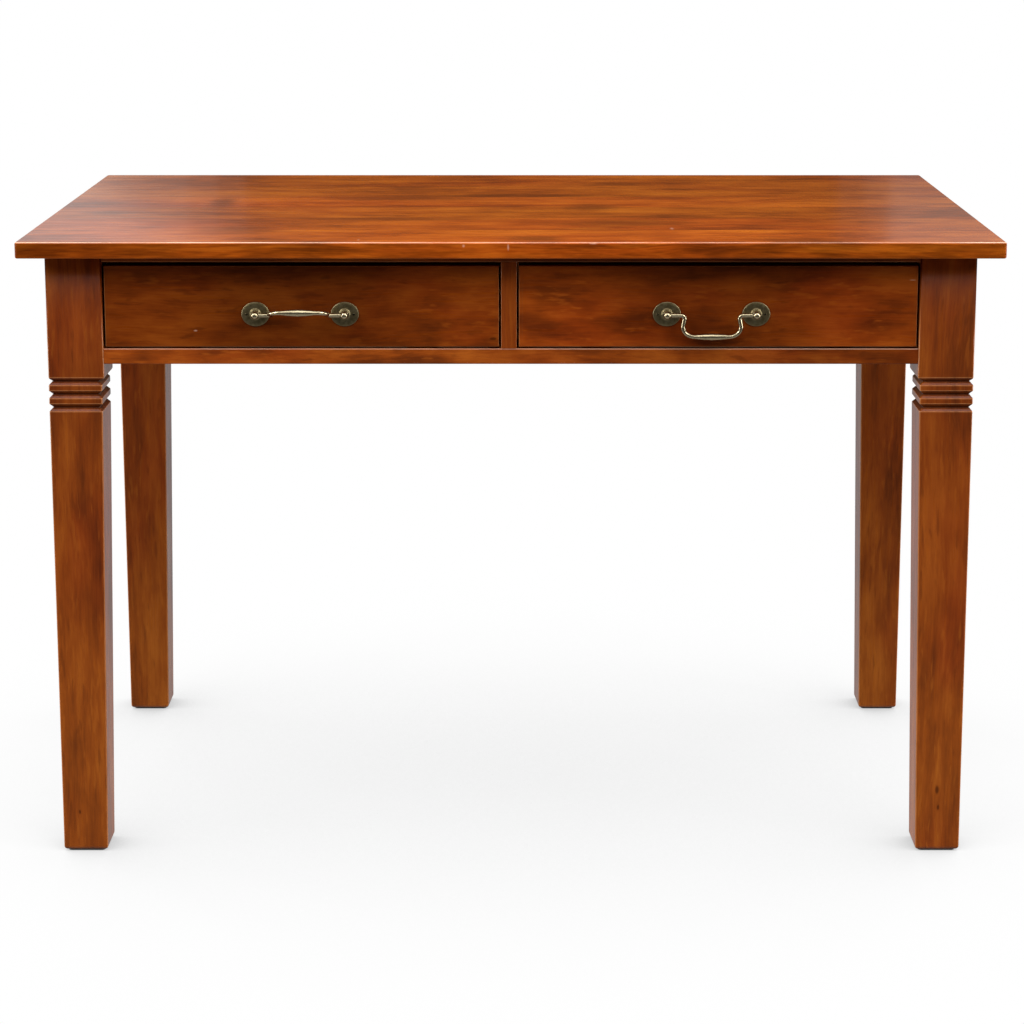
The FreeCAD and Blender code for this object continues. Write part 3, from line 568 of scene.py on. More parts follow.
def top_finish(tree, colour, wear_and_highlight_mask, dark):
    """Darker patches, edges in painted shade deepest at the left, painted light at the front, painted arris
    highlights.
    """
    colour = dark_patches(tree, colour, TOP_PATCHES, dark)
    place = tree.place()
    x, y, _ = tree.apart(place)
    curls = tree.noise(tree.vector("MULTIPLY", place, TOP_EDGE_CURLS), 1.0, 3.0, 0.6)
    curls = tree.span(curls, *TOP_EDGE_TONES)
    curls = tree.math("MULTIPLY", curls, tree.span(x, *TOP_EDGE_LEFT))
    # Edge faces in painted shade, darker than the upper face, with curly figure
    edge = tree.dimmed(tree.tinted(colour, STAIN_EDGE_SHADE), curls)
    colour = tree.mix(tree.span(surface_slant(tree)[2], *TOP_EDGE_SLOPE), colour, edge)
    # Painted light that brightens the top towards its near edge, and darker ends
    ends = tree.span(tree.math("ABSOLUTE", x), *TOP_ENDS)
    colour = tree.dimmed(colour, tree.math("MULTIPLY", tree.span(y, *TOP_NEAR_PAINTED_LIGHT), ends))
    # Painted highlight on the upper arrises, broken into patches
    patches = tree.span(tree.noise(place, TOP_HIGHLIGHT_WAVES), *TOP_HIGHLIGHT_PATCHES)
    painted_highlight = tree.math("MULTIPLY", upper_arris_highlight(tree, *TOP_HIGHLIGHT), patches)
    return tree.mix(tree.math("MULTIPLY", painted_highlight, wear_and_highlight_mask), colour, STAIN_NICKS_AND_HIGHLIGHT)


# Shares of dark wood in pores and in the hearts of knots, how dark a heart is, the streaks that worn edges
# and painted highlights show most in, and the slopes over which the coat of the top thins towards its edges
PORE_SHARE = 0.25
BARE_PORE_SHARE = 0.4
HEART_SHARE = 0.75
HEART_SHADE = 0.4
WEAR_AND_HIGHLIGHT_STREAKS = (0.2, 0.7)
LEAST_WEAR_AND_HIGHLIGHT = 0.6
COAT_SLOPE = (0.3, 0.9)


def stained_wood(name, axis, seed, tone, wear_and_highlight=0.3, contrast=1.6, finish=board_finish, knots=(), marks=(),
                 coat=PLAIN_COAT, stain=STAIN, cut="plain"):
    """Reddish-brown stained hardwood under satin lacquer. The top is glued up from boards."""
    tree = new_paint(name)
    parts = wood_parts(tree, axis, seed, cut, knots)
    middle = shade(stain, tone)
    dark = times(middle, STAIN_DARK)
    light = times(middle, STAIN_LIGHT)
    stops = [(0.0, dark), (0.5, middle), (1.0, light)]
    colour = tree.ramp(wood_depth(tree, parts, contrast, cut), stops)
    colour = tree.mix(tree.span(parts["reds"], *RED_SPAN), colour, tree.tinted(colour, STAIN_RED))
    colour = tree.mix(tree.span(parts["flecks"], *LIGHT_FLECKS), colour, light)
    colour = tree.mix(tree.span(parts["flecks"], *DARK_FLECKS), colour, dark)
    colour = tree.mix(tree.math("MULTIPLY", parts["pores"], PORE_SHARE), colour, dark)
    heart = tree.math("MULTIPLY", parts["heart"], HEART_SHARE)
    colour = tree.mix(heart, colour, shade(dark, HEART_SHADE))
    ior = WOOD_IOR
    if cut == "top":
        colour = tree.dimmed(colour, parts["board"])
        colour = tree.mix(tree.span(parts["nearest"], *GLUE_LINE), colour, dark)
        coat = tree.span(surface_slant(tree)[2], *COAT_SLOPE, TOP_EDGE_COAT, coat)
        ior = TOP_IOR
    wear_and_highlight_mask = tree.span(parts["streaks"], *WEAR_AND_HIGHLIGHT_STREAKS, LEAST_WEAR_AND_HIGHLIGHT * wear_and_highlight, wear_and_highlight)
    colour = pale_marks(tree, finish(tree, colour, wear_and_highlight_mask, dark), marks)
    roughness = tree.span(parts["streaks"], *MOST_NOISE, *LACQUER_ROUGHNESS)
    return tree.finish_with(
        Base_Color=colour, Roughness=roughness, IOR=ior, Normal=wood_relief(tree, parts, LACQUER_RELIEF),
        Coat_Weight=coat, Coat_Roughness=COAT_ROUGHNESS, Coat_IOR=COAT_IOR)


def drawer_wood(name, axis, seed):
    """Pale hardwood of the drawer boxes and their supports, planed and left bare."""
    tree = new_paint(name)
    parts = wood_parts(tree, axis, seed)
    stops = [(0.0, PALE_DARK), (0.5, PALE_MIDDLE), (1.0, PALE_LIGHT)]
    colour = tree.ramp(wood_depth(tree, parts, 1.0), stops)
    colour = tree.mix(tree.math("MULTIPLY", parts["pores"], BARE_PORE_SHARE), colour, PALE_DARK)
    roughness = tree.span(parts["fibres"], *MOST_NOISE, *BARE_ROUGHNESS)
    return tree.finish_with(
        Base_Color=colour, Roughness=roughness, Normal=wood_relief(tree, parts, BARE_RELIEF))


# Metal and felt. Each noise has its waves per metre, detail and roughness, and each relief its strength
# and height.

BRASS_BLACK = (0.020, 0.015, 0.009, 1)
BRASS_PATINA = (0.130, 0.100, 0.045, 1)
BRASS_AGED = (0.172, 0.134, 0.062, 1)
BRASS_RUBBED = (0.620, 0.530, 0.345, 1)
BRASS_MOTTLE = (240.0, 4.0, 0.6)
BRASS_SPECKLE = (1500.0, 3.0, 0.6)
BRASS_AGEING = (0.35, 0.65)
BRASS_HANDLING = (0.2, 0.8)
BRASS_RUBBED_SPREAD = 0.12
BRASS_DULLNESS_SPREAD = 0.05
BRASS_RELIEF = (0.04, 0.1 * MM)
RUBBED = "rubbed"

STEEL_DULL = (0.330, 0.320, 0.310, 1)
STEEL_BRIGHT = (0.600, 0.590, 0.570, 1)
STEEL_MOTTLE = (420.0, 4.0, 0.6)
STEEL_DULLING = (0.35, 0.7)
STEEL_ROUGHNESS = (0.28, 0.48)
STEEL_RELIEF = (0.1, 0.1 * MM)

FELT_DARK = (0.012, 0.010, 0.009, 1)
FELT_LIGHT = (0.045, 0.040, 0.036, 1)
FELT_TUFTS = (1100.0, 4.0, 0.7)
FELT_ROUGHNESS = (1.0, 0.85)
FELT_SHEEN = 0.3
FELT_RELIEF = (0.7, 0.5 * MM)


def antique_brass(name, rubbed_share, dullness, patina=BRASS_PATINA, aged=BRASS_AGED):
    """Brass darkened with age, rubbed brighter where hands hold it and on its edges, partly a painted
    highlight.
    """
    tree = new_paint(name)
    place = tree.place()
    mottled = tree.noise(place, *BRASS_MOTTLE)
    speckled = tree.noise(place, *BRASS_SPECKLE)
    # Rubbed rim and collar of the rosettes, partly a painted highlight
    rubbed_highlit_ridges = tree.add("Attribute", output="Fac", attribute_name=RUBBED)
    aged = tree.mix(tree.span(mottled, *BRASS_AGEING), patina, aged)
    least = max(0.0, rubbed_share - BRASS_RUBBED_SPREAD)
    most = min(1.0, rubbed_share + BRASS_RUBBED_SPREAD)
    hand = tree.span(mottled, *BRASS_HANDLING, least, most)
    colour = tree.mix(tree.math("MAXIMUM", hand, rubbed_highlit_ridges), aged, BRASS_RUBBED)
    smoothest = dullness - BRASS_DULLNESS_SPREAD
    roughest = dullness + BRASS_DULLNESS_SPREAD
    roughness = tree.span(speckled, *MOST_NOISE, smoothest, roughest)
    return tree.finish_with(
        Base_Color=colour, Metallic=1.0, Roughness=roughness, Normal=tree.bump(speckled, *BRASS_RELIEF))


def steel(name):
    """Zinc-plated steel of the hidden fasteners, slightly dulled."""
    tree = new_paint(name)
    mottled = tree.noise(tree.place(), *STEEL_MOTTLE)
    colour = tree.mix(tree.span(mottled, *STEEL_DULLING), STEEL_BRIGHT, STEEL_DULL)
    roughness = tree.span(mottled, *MOST_NOISE, *STEEL_ROUGHNESS)
    return tree.finish_with(
        Base_Color=colour, Metallic=1.0, Roughness=roughness, Normal=tree.bump(mottled, *STEEL_RELIEF))


def felt(name):
    """Dark pressed felt under the feet."""
    tree = new_paint(name)
    tufts = tree.noise(tree.place(), *FELT_TUFTS)
    colour = tree.mix(tree.span(tufts, *MOST_NOISE), FELT_DARK, FELT_LIGHT)
    roughness = tree.span(tufts, *MOST_NOISE, *FELT_ROUGHNESS)
    return tree.finish_with(
        Base_Color=colour, Roughness=roughness, Sheen_Weight=FELT_SHEEN,
        Normal=tree.bump(tufts, *FELT_RELIEF))


# Meshes

FACE_WEIGHT = 100
EASE_LIMIT = 0.45
SHARP_ANGLE = math.radians(50)


def new_piece(name, rings, material, rubbed=()):
    """Mesh object skinned over rings of points that all have the same count, with both ends capped.

    The rubbed values, if any, say how bright each ring has been rubbed.
    """
    sheet = bmesh.new()
    rows = [[sheet.verts.new(point) for point in ring] for ring in rings]
    count = len(rows[0])
    for low, high in zip(rows, rows[1:]):
        for index in range(count):
            after = (index + 1) % count
            sheet.faces.new((low[index], low[after], high[after], high[index]))
    sheet.faces.new(list(reversed(rows[0])))
    sheet.faces.new(rows[-1])
    bmesh.ops.recalc_face_normals(sheet, faces=sheet.faces)
    mesh = bpy.data.meshes.new(name)
    sheet.to_mesh(mesh)
    sheet.free()
    mesh.shade_smooth()
    if rubbed:
        values = [share for share in rubbed for _ in range(count)]
        mesh.attributes.new(RUBBED, "FLOAT", "POINT").data.foreach_set("value", values)
    mesh.materials.append(material)
    piece = bpy.data.objects.new(name, mesh)
    bpy.context.scene.collection.objects.link(piece)
    return piece


def stand_for(piece, node):
    """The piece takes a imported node's place, on the node's own body."""
    body = frame["nodes"][node]["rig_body"]
    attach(piece, body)
    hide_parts(node)


def keep_flats_flat(piece):
    """Shading normals follow the larger faces, so flats stay flat beside rounded arrises."""
    modifier = piece.modifiers.new("flat_faces", "WEIGHTED_NORMAL")
    modifier.weight = FACE_WEIGHT
    modifier.keep_sharp = True


def eased_line(points, eases, steps):
    """Open line of vectors with its inner corners rounded, each by its own ease."""
    line = [points[0]]
    for before, corner, after, ease in zip(points, points[1:], points[2:], eases[1:]):
        reach = min(ease, EASE_LIMIT * (corner - before).length, EASE_LIMIT * (after - corner).length)
        start = corner + (before - corner).normalized() * reach
        end = corner + (after - corner).normalized() * reach
        for step in range(steps + 1):
            share = step / steps
            line.append(start.lerp(corner, share).lerp(corner.lerp(end, share), share))
    return line + [points[-1]]


# Legs

CORNER_STEPS = 4
RING_STEPS = 3
FOOT_STEPS = 4


def leg_levels(foot_height, block_top, block):
    """Height, outer inset and inner reach at each turn of the leg's outline, from the foot up."""
    lowest = GROOVE_TOP - (GROOVES - 1) * GROOVE_PITCH
    levels = []
    for step in range(FOOT_STEPS + 1):
        angle = math.pi / 2 * step / FOOT_STEPS
        inset = FOOT_ROUNDING * (1 - math.sin(angle))
        rise = FOOT_ROUNDING * (1 - math.cos(angle))
        levels.append(Vector((foot_height + rise, inset, LEG_FOOT - inset)))
    levels.append(Vector((lowest - GROOVE_HALF, 0.0, LEG_SHAFT)))
    for step in range(GROOVES):
        middle = lowest + step * GROOVE_PITCH
        levels.append(Vector((middle, GROOVE_DEPTH, LEG_SHAFT - GROOVE_DEPTH)))
        if step < GROOVES - 1:
            levels.append(Vector((middle + GROOVE_HALF, 0.0, LEG_SHAFT)))
            levels.append(Vector((middle + GROOVE_PITCH - GROOVE_HALF, 0.0, LEG_SHAFT)))
    levels.append(Vector((BLOCK_END, 0.0, block)))
    levels.append(Vector((block_top, 0.0, block)))
    return levels


def rounded_square(low, high, radius, height):
    """Square outline with rounded corners at one height, from its low and high corners."""
    points = []
    corners = [(high[0], high[1]), (low[0], high[1]), (low[0], low[1]), (high[0], low[1])]
    for quarter, (x, y) in enumerate(corners):
        centre_x = x + (radius if x == low[0] else -radius)
        centre_y = y + (radius if y == low[1] else -radius)
        for step in range(CORNER_STEPS + 1):
            angle = math.pi / 2 * (quarter + step / CORNER_STEPS)
            points.append((centre_x + radius * math.cos(angle), centre_y + radius * math.sin(angle), height))
    return points


def make_leg(end, side, material):
    node = f"{end}_{side}_leg"
    low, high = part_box(node)
    outer_x = high.x if SIDES[side] > 0 else low.x
    outer_y = high.y if ENDS[end] > 0 else low.y
    levels = leg_levels(low.z, high.z, high.x - low.x)
    eases = [RING_EASE if level.x < GROOVE_TOP + GROOVE_DEPTH / 2 else BLOCK_EASE for level in levels]
    rings = []
    for height, inset, reach in eased_line(levels, eases, RING_STEPS):
        x = sorted((outer_x - SIDES[side] * inset, outer_x - SIDES[side] * reach))
        y = sorted((outer_y - ENDS[end] * inset, outer_y - ENDS[end] * reach))
        rings.append(rounded_square((x[0], y[0]), (x[1], y[1]), LEG_ARRIS, height))
    leg = new_piece("carved_" + node, rings, material)
    keep_flats_flat(leg)
    stand_for(leg, node)


# Handles: each is drawn with its post axis along Z and its bail hanging towards -Y, then set on the drawer

OVAL_STEPS = 64
TUBE_STEPS = 24
LATHE_STEPS = 40
BALL_STEPS = 14
GRIP_STEPS = 60
DEGREES_PER_STEP = 6.0

# Outlines in millimetres, each turn of the rim and the collar with how bright it is rubbed, partly a painted
# highlight.
# The rim's turns are insets from the plate's edge and heights, the collar's are steps outside its
# radius and rises above the plate, and the neck's are radii and rises above the collar.
RIM_OUTLINE = [
    (0.0, 0.0, 0.0), (0.0, 0.9, 0.0), (0.25, 1.45, 0.12), (0.75, 1.80, 0.15), (1.20, 1.78, 0.05),
    (1.55, 1.62, 0.0), (1.9, 1.72, 0.0), (2.6, 1.95, 0.0),
]
COLLAR_OUTLINE = [
    (2.2, 0.0, 0.0), (1.2, 0.12, 0.0), (0.5, 0.45, 0.0), (0.1, 0.95, 0.05), (0.0, 1.2, 0.12),
    (-0.35, 1.5, 0.18), (-0.9, 1.6, 0.1), (-3.4, 1.6, 0.0),
]
NECK_OUTLINE = [(4.1, 0.0), (3.75, 0.35), (3.3, 1.0), (3.05, 1.9), (3.0, 2.8), (3.1, 3.5)]


def on_drawer(points, x, z, front):
    """Points of a handle turned to stand on a drawer front, around a place on it."""
    return [(x + point[0], front - point[2], z + point[1]) for point in points]


def oval(half_width, half_height, height, steps=OVAL_STEPS):
    points = []
    for step in range(steps):
        angle = 2 * math.pi * step / steps
        points.append((half_width * math.cos(angle), half_height * math.sin(angle), height))
    return points


def rosette_rings(half_width, half_height):
    """Oval plate with a beaded rim, a slightly domed field and a raised collar."""
    rings = []
    for inset, height, _ in RIM_OUTLINE:
        rings.append(oval(half_width - inset * MM, half_height - inset * MM, height * MM))
    for outside, rise, _ in COLLAR_OUTLINE:
        radius = COLLAR_RADIUS + outside * MM
        rings.append(oval(radius, radius, ROSETTE_THICKNESS + rise * MM))
    return rings


def post_rings():
    """Shank, flared neck and ball, turned about the post's axis."""
    seat = ROSETTE_THICKNESS + COLLAR_HEIGHT
    outline = [(SHANK_RADIUS, SHANK_END), (SHANK_RADIUS, seat)]
    outline += [(radius * MM, seat + rise * MM) for radius, rise in NECK_OUTLINE]
    neck_top = NECK_OUTLINE[-1][0] * MM
    first = math.asin(neck_top / BALL_RADIUS)
    for step in range(1, BALL_STEPS):
        angle = math.pi - first - (math.pi - first) * step / BALL_STEPS
        outline.append((BALL_RADIUS * math.sin(angle), HANDLE_STANDOFF + BALL_RADIUS * math.cos(angle)))
    return [oval(radius, radius, height, LATHE_STEPS) for radius, height in outline]


def bail_arm():
    """Points and radii of the left arm's centre line, from its pin in the post down to the grip."""
    leaning = math.radians(90 + BAIL_LEAN)
    cornered = math.radians(90 + BAIL_LEAN - CORNER_TURN)
    bend_drop = BEND_RADIUS * (1 - math.cos(leaning))
    corner_drop = CORNER_RADIUS * (math.cos(cornered) - math.cos(leaning))
    foot_drop = FOOT_RADIUS * (1 - math.cos(cornered))
    arm = (BAIL_DROP - bend_drop - corner_drop - foot_drop) / math.cos(math.radians(BAIL_LEAN))
    moves = [
        (BAIL_STUB - BAIL_SHOULDER, 0),
        (BEND_RADIUS, -(90 + BAIL_LEAN)),
        (arm, 0),
        (CORNER_RADIUS, CORNER_TURN),
        (FOOT_RADIUS, 90 + BAIL_LEAN - CORNER_TURN),
    ]
    here = Vector((BAIL_SHOULDER - POST_SPACING / 2, 0.0, HANDLE_STANDOFF))
    pin = Vector((PIN_START - POST_SPACING / 2, 0.0, HANDLE_STANDOFF))
    line = [(pin, PIN_RADIUS), (here.copy(), PIN_RADIUS), (here.copy(), ROD_RADIUS)]
    heading = 0.0
    for size, turn in moves:
        if turn == 0:
            here = here + Vector((math.cos(heading), math.sin(heading), 0.0)) * size
            line.append((here.copy(), ROD_RADIUS))
            continue
        way = math.copysign(1.0, turn)
        centre = here + Vector((-math.sin(heading), math.cos(heading), 0.0)) * (size * way)
        steps = math.ceil(abs(turn) / DEGREES_PER_STEP)
        for step in range(1, steps + 1):
            angle = heading + math.radians(turn) * step / steps
            here = centre + Vector((math.sin(angle), -math.cos(angle), 0.0)) * (size * way)
            line.append((here.copy(), ROD_RADIUS))
        heading += math.radians(turn)
    return line


def bail_line():
    """The whole bail: left arm, swelling grip with a soft ridge at its middle, and right arm."""
    arm = bail_arm()
    half = -arm[-1][0].x
    grip = []
    for step in range(1, GRIP_STEPS):
        share = 2 * step / GRIP_STEPS - 1
        swell = (1 - share * share) * (GRIP_RADIUS - ROD_RADIUS)
        ridge = GRIP_RIDGE * math.exp(-((share * half / GRIP_RIDGE_WIDTH) ** 2))
        grip.append((Vector((share * half, -BAIL_DROP, HANDLE_STANDOFF)), ROD_RADIUS + swell + ridge))
    mirrored = [(Vector((-point.x, point.y, point.z)), radius) for point, radius in reversed(arm)]
    return arm + grip + mirrored


def tube_rings(line):
    """Rings across a line that lies in a plane of constant Z."""
    rings = []
    for index, (point, radius) in enumerate(line):
        before = line[max(index - 1, 0)][0]
        after = line[min(index + 1, len(line) - 1)][0]
        way = after - before
        across = Vector((-way.y, way.x, 0.0)).normalized()
        ring = []
        for step in range(TUBE_STEPS):
            angle = 2 * math.pi * step / TUBE_STEPS
            offset = across * math.cos(angle) + Vector((0.0, 0.0, 1.0)) * math.sin(angle)
            ring.append(point + offset * radius)
        rings.append(ring)
    return rings


def make_handle(name, raised, plate_material, bail_material):
    prefix = f"{name}_handle_"
    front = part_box(f"{name}_drawer_front")[0].y
    boxes = {edge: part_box(f"{prefix}{edge}_rosette") for edge in SIDES}
    low, high = boxes["left"]
    z = (low.z + high.z) / 2
    for edge, (low, high) in boxes.items():
        x = (low.x + high.x) / 2
        rings = rosette_rings((high.x - low.x) / 2, (high.z - low.z) / 2)
        rings = [on_drawer(ring, x, z, front) for ring in rings]
        rubbed = [share for *_, share in RIM_OUTLINE + COLLAR_OUTLINE]
        plate = new_piece(f"beaded_{prefix}{edge}_rosette", rings, plate_material, rubbed)
        keep_flats_flat(plate)
        stand_for(plate, f"{prefix}{edge}_rosette")
        rings = [on_drawer(ring, x, z, front) for ring in post_rings()]
        post = new_piece(f"turned_{prefix}{edge}_post", rings, bail_material)
        post.data.set_sharp_from_angle(angle=SHARP_ANGLE)
        stand_for(post, f"{prefix}{edge}_post")
    low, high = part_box(prefix + "bail")
    x = (low.x + high.x) / 2
    turn = Matrix.Rotation(math.radians(-raised), 4, "X")
    pivot = Vector((0.0, 0.0, HANDLE_STANDOFF))
    rings = []
    for ring in tube_rings(bail_line()):
        rings.append(on_drawer([pivot + turn @ (point - pivot) for point in ring], x, z, front))
    bail = new_piece(f"forged_{prefix}bail", rings, bail_material)
    bail.data.set_sharp_from_angle(angle=SHARP_ANGLE)
    stand_for(bail, prefix + "bail")


# Finishes of the single pieces

LEG_TONES = {"front": 0.63, "back": 0.52}
LEG_SEED = 20.0
LEG_SEED_END = 1.7
LEG_SEED_SIDE = 0.6
APRON_TONE = 0.6

# Small knots: place of each heart, along the grain first, and its radius
LEG_KNOTS = {
    "front_right_leg": [((0.081, 0.5325, -0.310), 3 * MM), ((0.058, 0.5344, -0.310), 2 * MM)],
    "back_right_leg": [((0.259, 0.5237, 0.245), 4 * MM)],
    "front_left_leg": [((0.052, -0.5408, -0.310), 1.6 * MM)],
}
LEFT_FRONT_KNOTS = [((-0.0215, -0.308, 0.6540), 2.5 * MM)]

# Nicks and scratches: the middle and half sizes of each
TOP_MARKS = [
    ((-0.0560, -0.350, 0.7735), (1.6 * MM, 4 * MM, 1.8 * MM)),
    ((-0.0030, -0.350, 0.7720), (1.2 * MM, 3 * MM, 4.0 * MM)),
    ((0.0980, -0.349, 0.7765), (5.0 * MM, 3 * MM, 1.2 * MM)),
    ((-0.1820, -0.330, 0.7780), (1.5 * MM, 6 * MM, 1.0 * MM)),
    ((0.1980, -0.230, 0.7780), (2.5 * MM, 9 * MM, 1.0 * MM)),
]
LEFT_FRONT_MARKS = [((-0.3820, -0.308, 0.6640), (2.2 * MM, 2 * MM, 1.1 * MM))]
RIGHT_FRONT_MARKS = [((0.4850, -0.308, 0.7260), (4.0 * MM, 2 * MM, 0.8 * MM))]


def dress(node, material):
    mesh = frame["nodes"][node].data
    for index in range(len(mesh.materials)):
        mesh.materials[index] = material


def dress_stained_wood():
    dress("desk_top", stained_wood(
        "top_wood", "x", seed=1.13, tone=1.32, wear_and_highlight=0.8, contrast=1.45, finish=top_finish, marks=TOP_MARKS,
        coat=TOP_COAT, stain=STAIN_TOP, cut="top"))
    dress("upper_front_rail", stained_wood("upper_rail_wood", "x", seed=2.0, tone=0.55))
    dress("lower_front_rail", stained_wood(
        "lower_rail_wood", "x", seed=3.3, tone=0.80, wear_and_highlight=0.32, finish=rail_finish, cut="mottled"))
    dress("centre_divider", stained_wood("divider_wood", "z", seed=4.1, tone=0.57))
    front_look = {"wear_and_highlight": 0.4, "contrast": 1.35, "finish": front_finish, "coat": FRONT_COAT,
                  "stain": STAIN_FRONT, "cut": "mottled"}
    dress("left_drawer_front", stained_wood(
        "left_front_wood", "x", seed=8.5, tone=0.40, knots=LEFT_FRONT_KNOTS, marks=LEFT_FRONT_MARKS,
        **front_look))
    dress("right_drawer_front", stained_wood(
        "right_front_wood", "x", seed=9.7, tone=0.54, marks=RIGHT_FRONT_MARKS, **front_look))
    for place, axis, seed in (("left", "y", 5.2), ("right", "y", 6.6), ("back", "x", 7.4)):
        dress(f"{place}_apron", stained_wood(f"{place}_apron_wood", axis, seed, APRON_TONE))


def dress_drawer_wood():
    along_depth = drawer_wood("drawer_wood_along_depth", "y", seed=11.0)
    along_width = drawer_wood("drawer_wood_along_width", "x", seed=12.3)
    for name in SIDES:
        for edge in SIDES:
            dress(f"{name}_drawer_{edge}_side", along_depth)
        dress(f"{name}_drawer_back", along_width)
        dress(f"{name}_drawer_bottom", along_width)
    for place in ("left", "centre", "right"):
        for support in ("runner", "guide", "kicker"):
            dress(f"{place}_{support}", along_depth)
    dress("drawer_stops", along_width)


def dress_metal_and_felt():
    fastener = steel("plated_steel")
    pad = felt("pressed_felt")
    nail = antique_brass("black_brass", 0.0, 0.24, BRASS_BLACK, BRASS_PATINA)
    for node in ("top_screws", "guide_screws"):
        dress(node, fastener)
    for name in SIDES:
        dress(f"{name}_drawer_bottom_nails", fastener)
        dress(f"{name}_handle_nuts", fastener)
        dress(f"{name}_handle_washers", fastener)
        dress(f"{name}_handle_nails", nail)
        for end in ENDS:
            dress(f"{end}_{name}_foot_pad", pad)


def make_legs():
    for end in ENDS:
        for side in SIDES:
            name = f"{end}_{side}_leg"
            seed = LEG_SEED + LEG_SEED_END * ENDS[end] + LEG_SEED_SIDE * SIDES[side]
            wood = stained_wood(
                name + "_wood", "z", seed, LEG_TONES[end], wear_and_highlight=0.4, contrast=1.35, finish=leg_finish,
                knots=LEG_KNOTS.get(name, ()), coat=LEG_COAT, cut="leg")
            make_leg(end, side, wood)


def make_handles():
    plate = antique_brass("dark_brass", 0.03, 0.38)
    rod = antique_brass("rubbed_brass", 0.58, 0.24)
    make_handle("left", LEFT_BAIL_RAISED, plate, rod)
    make_handle("right", 0.0, plate, rod)


# Studio: the floor shows to the camera alone, and the world below it stands for its dim return of light

WHITE = (1.0, 1.0, 1.0, 1)
BLACK = (0.0, 0.0, 0.0, 1)
FLOOR_HALF = 40.0
FLOOR_SHADOW_REACH = 1.2
FLOOR_SHADOW_RAYS = 16
FLOOR_DARKEST = 0.50
FLOOR_OPEN = 0.88
WORLD_BELOW = 0.46
WORLD_LEVEL = 0.01
WORLD_ABOVE = 0.50
WORLD_FRONT = 0.10

# Brightness of the world by height of the direction, from 0 straight down to 1 straight up, behind the desk
# and in front of it, and the span of the direction's Y from one to the other
BACK_HEIGHTS = [(0.47, WORLD_BELOW), (0.50, WORLD_LEVEL), (0.60, WORLD_LEVEL), (0.78, WORLD_ABOVE)]
FRONT_HEIGHTS = [(0.18, WORLD_BELOW), (0.28, WORLD_FRONT), (0.66, WORLD_FRONT), (0.80, WORLD_ABOVE)]
BACK_Y = -0.15
FRONT_Y = -0.45

# Free-standing lights: place, point they face, width, height and radiance
LIGHTS = {
    "side_left": ((-3.2, -2.6, 2.9), (0.0, 0.0, 0.5), 1.8, 1.8, 12.0),
    "side_right": ((3.2, -2.6, 2.9), (0.0, 0.0, 0.5), 1.8, 1.8, 11.0),
    "low_left": ((-3.0, -0.1, 0.6), (0.5, 0.0, 0.3), 2.2, 1.1, 9.0),
    "low_right": ((3.0, -0.1, 0.6), (-0.5, 0.0, 0.3), 2.2, 1.1, 9.0),
    "front": ((0.0, -3.2, 3.2), (0.0, -0.3, 0.6), 2.0, 0.8, 4.0),
    "overhead": ((0.0, -1.0, 2.8), (0.0, -0.4, 0.7), 3.2, 1.5, 2.4),
}

# Upright panels behind the desk, which the top mirrors. Each lower one is three layers deep, with inner
# borders that differ, so that its border is soft.
PANEL_Y = 2.2
PANEL_LAYERS = 3
PANEL_LAYER = 0.02
PANEL_SOFTNESS = 0.06
PANEL_OUTER = 2.65
PANEL_TOP = 2.2
PANEL_BOTTOM = 0.80
LEFT_INNER = -0.655
LEFT_RADIANCE = 0.064
RIGHT_INNER = 0.755
RIGHT_RADIANCE = 0.048
UPPER_LEFT_MIDDLE = (-1.52, PANEL_Y - PANEL_LAYER, 1.79)
UPPER_LEFT_SIZE = 2.0
UPPER_LEFT_RADIANCE = 0.56
UPPER_LEFT_ROLL = 45.0
UPPER_RIGHT_INNER = 0.80
UPPER_RIGHT_BOTTOM = 1.07
UPPER_RIGHT_RADIANCE = 0.24


def make_camera():
    data = bpy.data.cameras.new("camera")
    data.sensor_width = SENSOR
    data.lens = FOCAL_PIXELS / PHOTO_SIZE * SENSOR
    data.shift_x = (PHOTO_SIZE / 2 - IMAGE_CENTRE[0]) / PHOTO_SIZE
    data.shift_y = (IMAGE_CENTRE[1] - PHOTO_SIZE / 2) / PHOTO_SIZE
    camera = bpy.data.objects.new("camera", data)
    camera.location = CAMERA_PLACE
    camera.rotation_euler = (math.pi / 2 - CAMERA_TILT, 0.0, 0.0)
    bpy.context.scene.collection.objects.link(camera)
    bpy.context.scene.camera = camera


def make_light(name, place, target, width, height, radiance, roll=0.0):
    """Soft panel that faces a target and is seen only in reflections."""
    data = bpy.data.lights.new(name, "AREA")
    data.shape = "RECTANGLE"
    data.size = width
    data.size_y = height
    data.energy = radiance * math.pi * width * height
    light = bpy.data.objects.new(name, data)
    light.location = place
    facing = (Vector(target) - Vector(place)).to_track_quat("-Z", "Y")
    light.rotation_euler = (facing @ Quaternion((0, 0, 1), math.radians(roll))).to_euler()
    light.visible_camera = False
    bpy.context.scene.collection.objects.link(light)


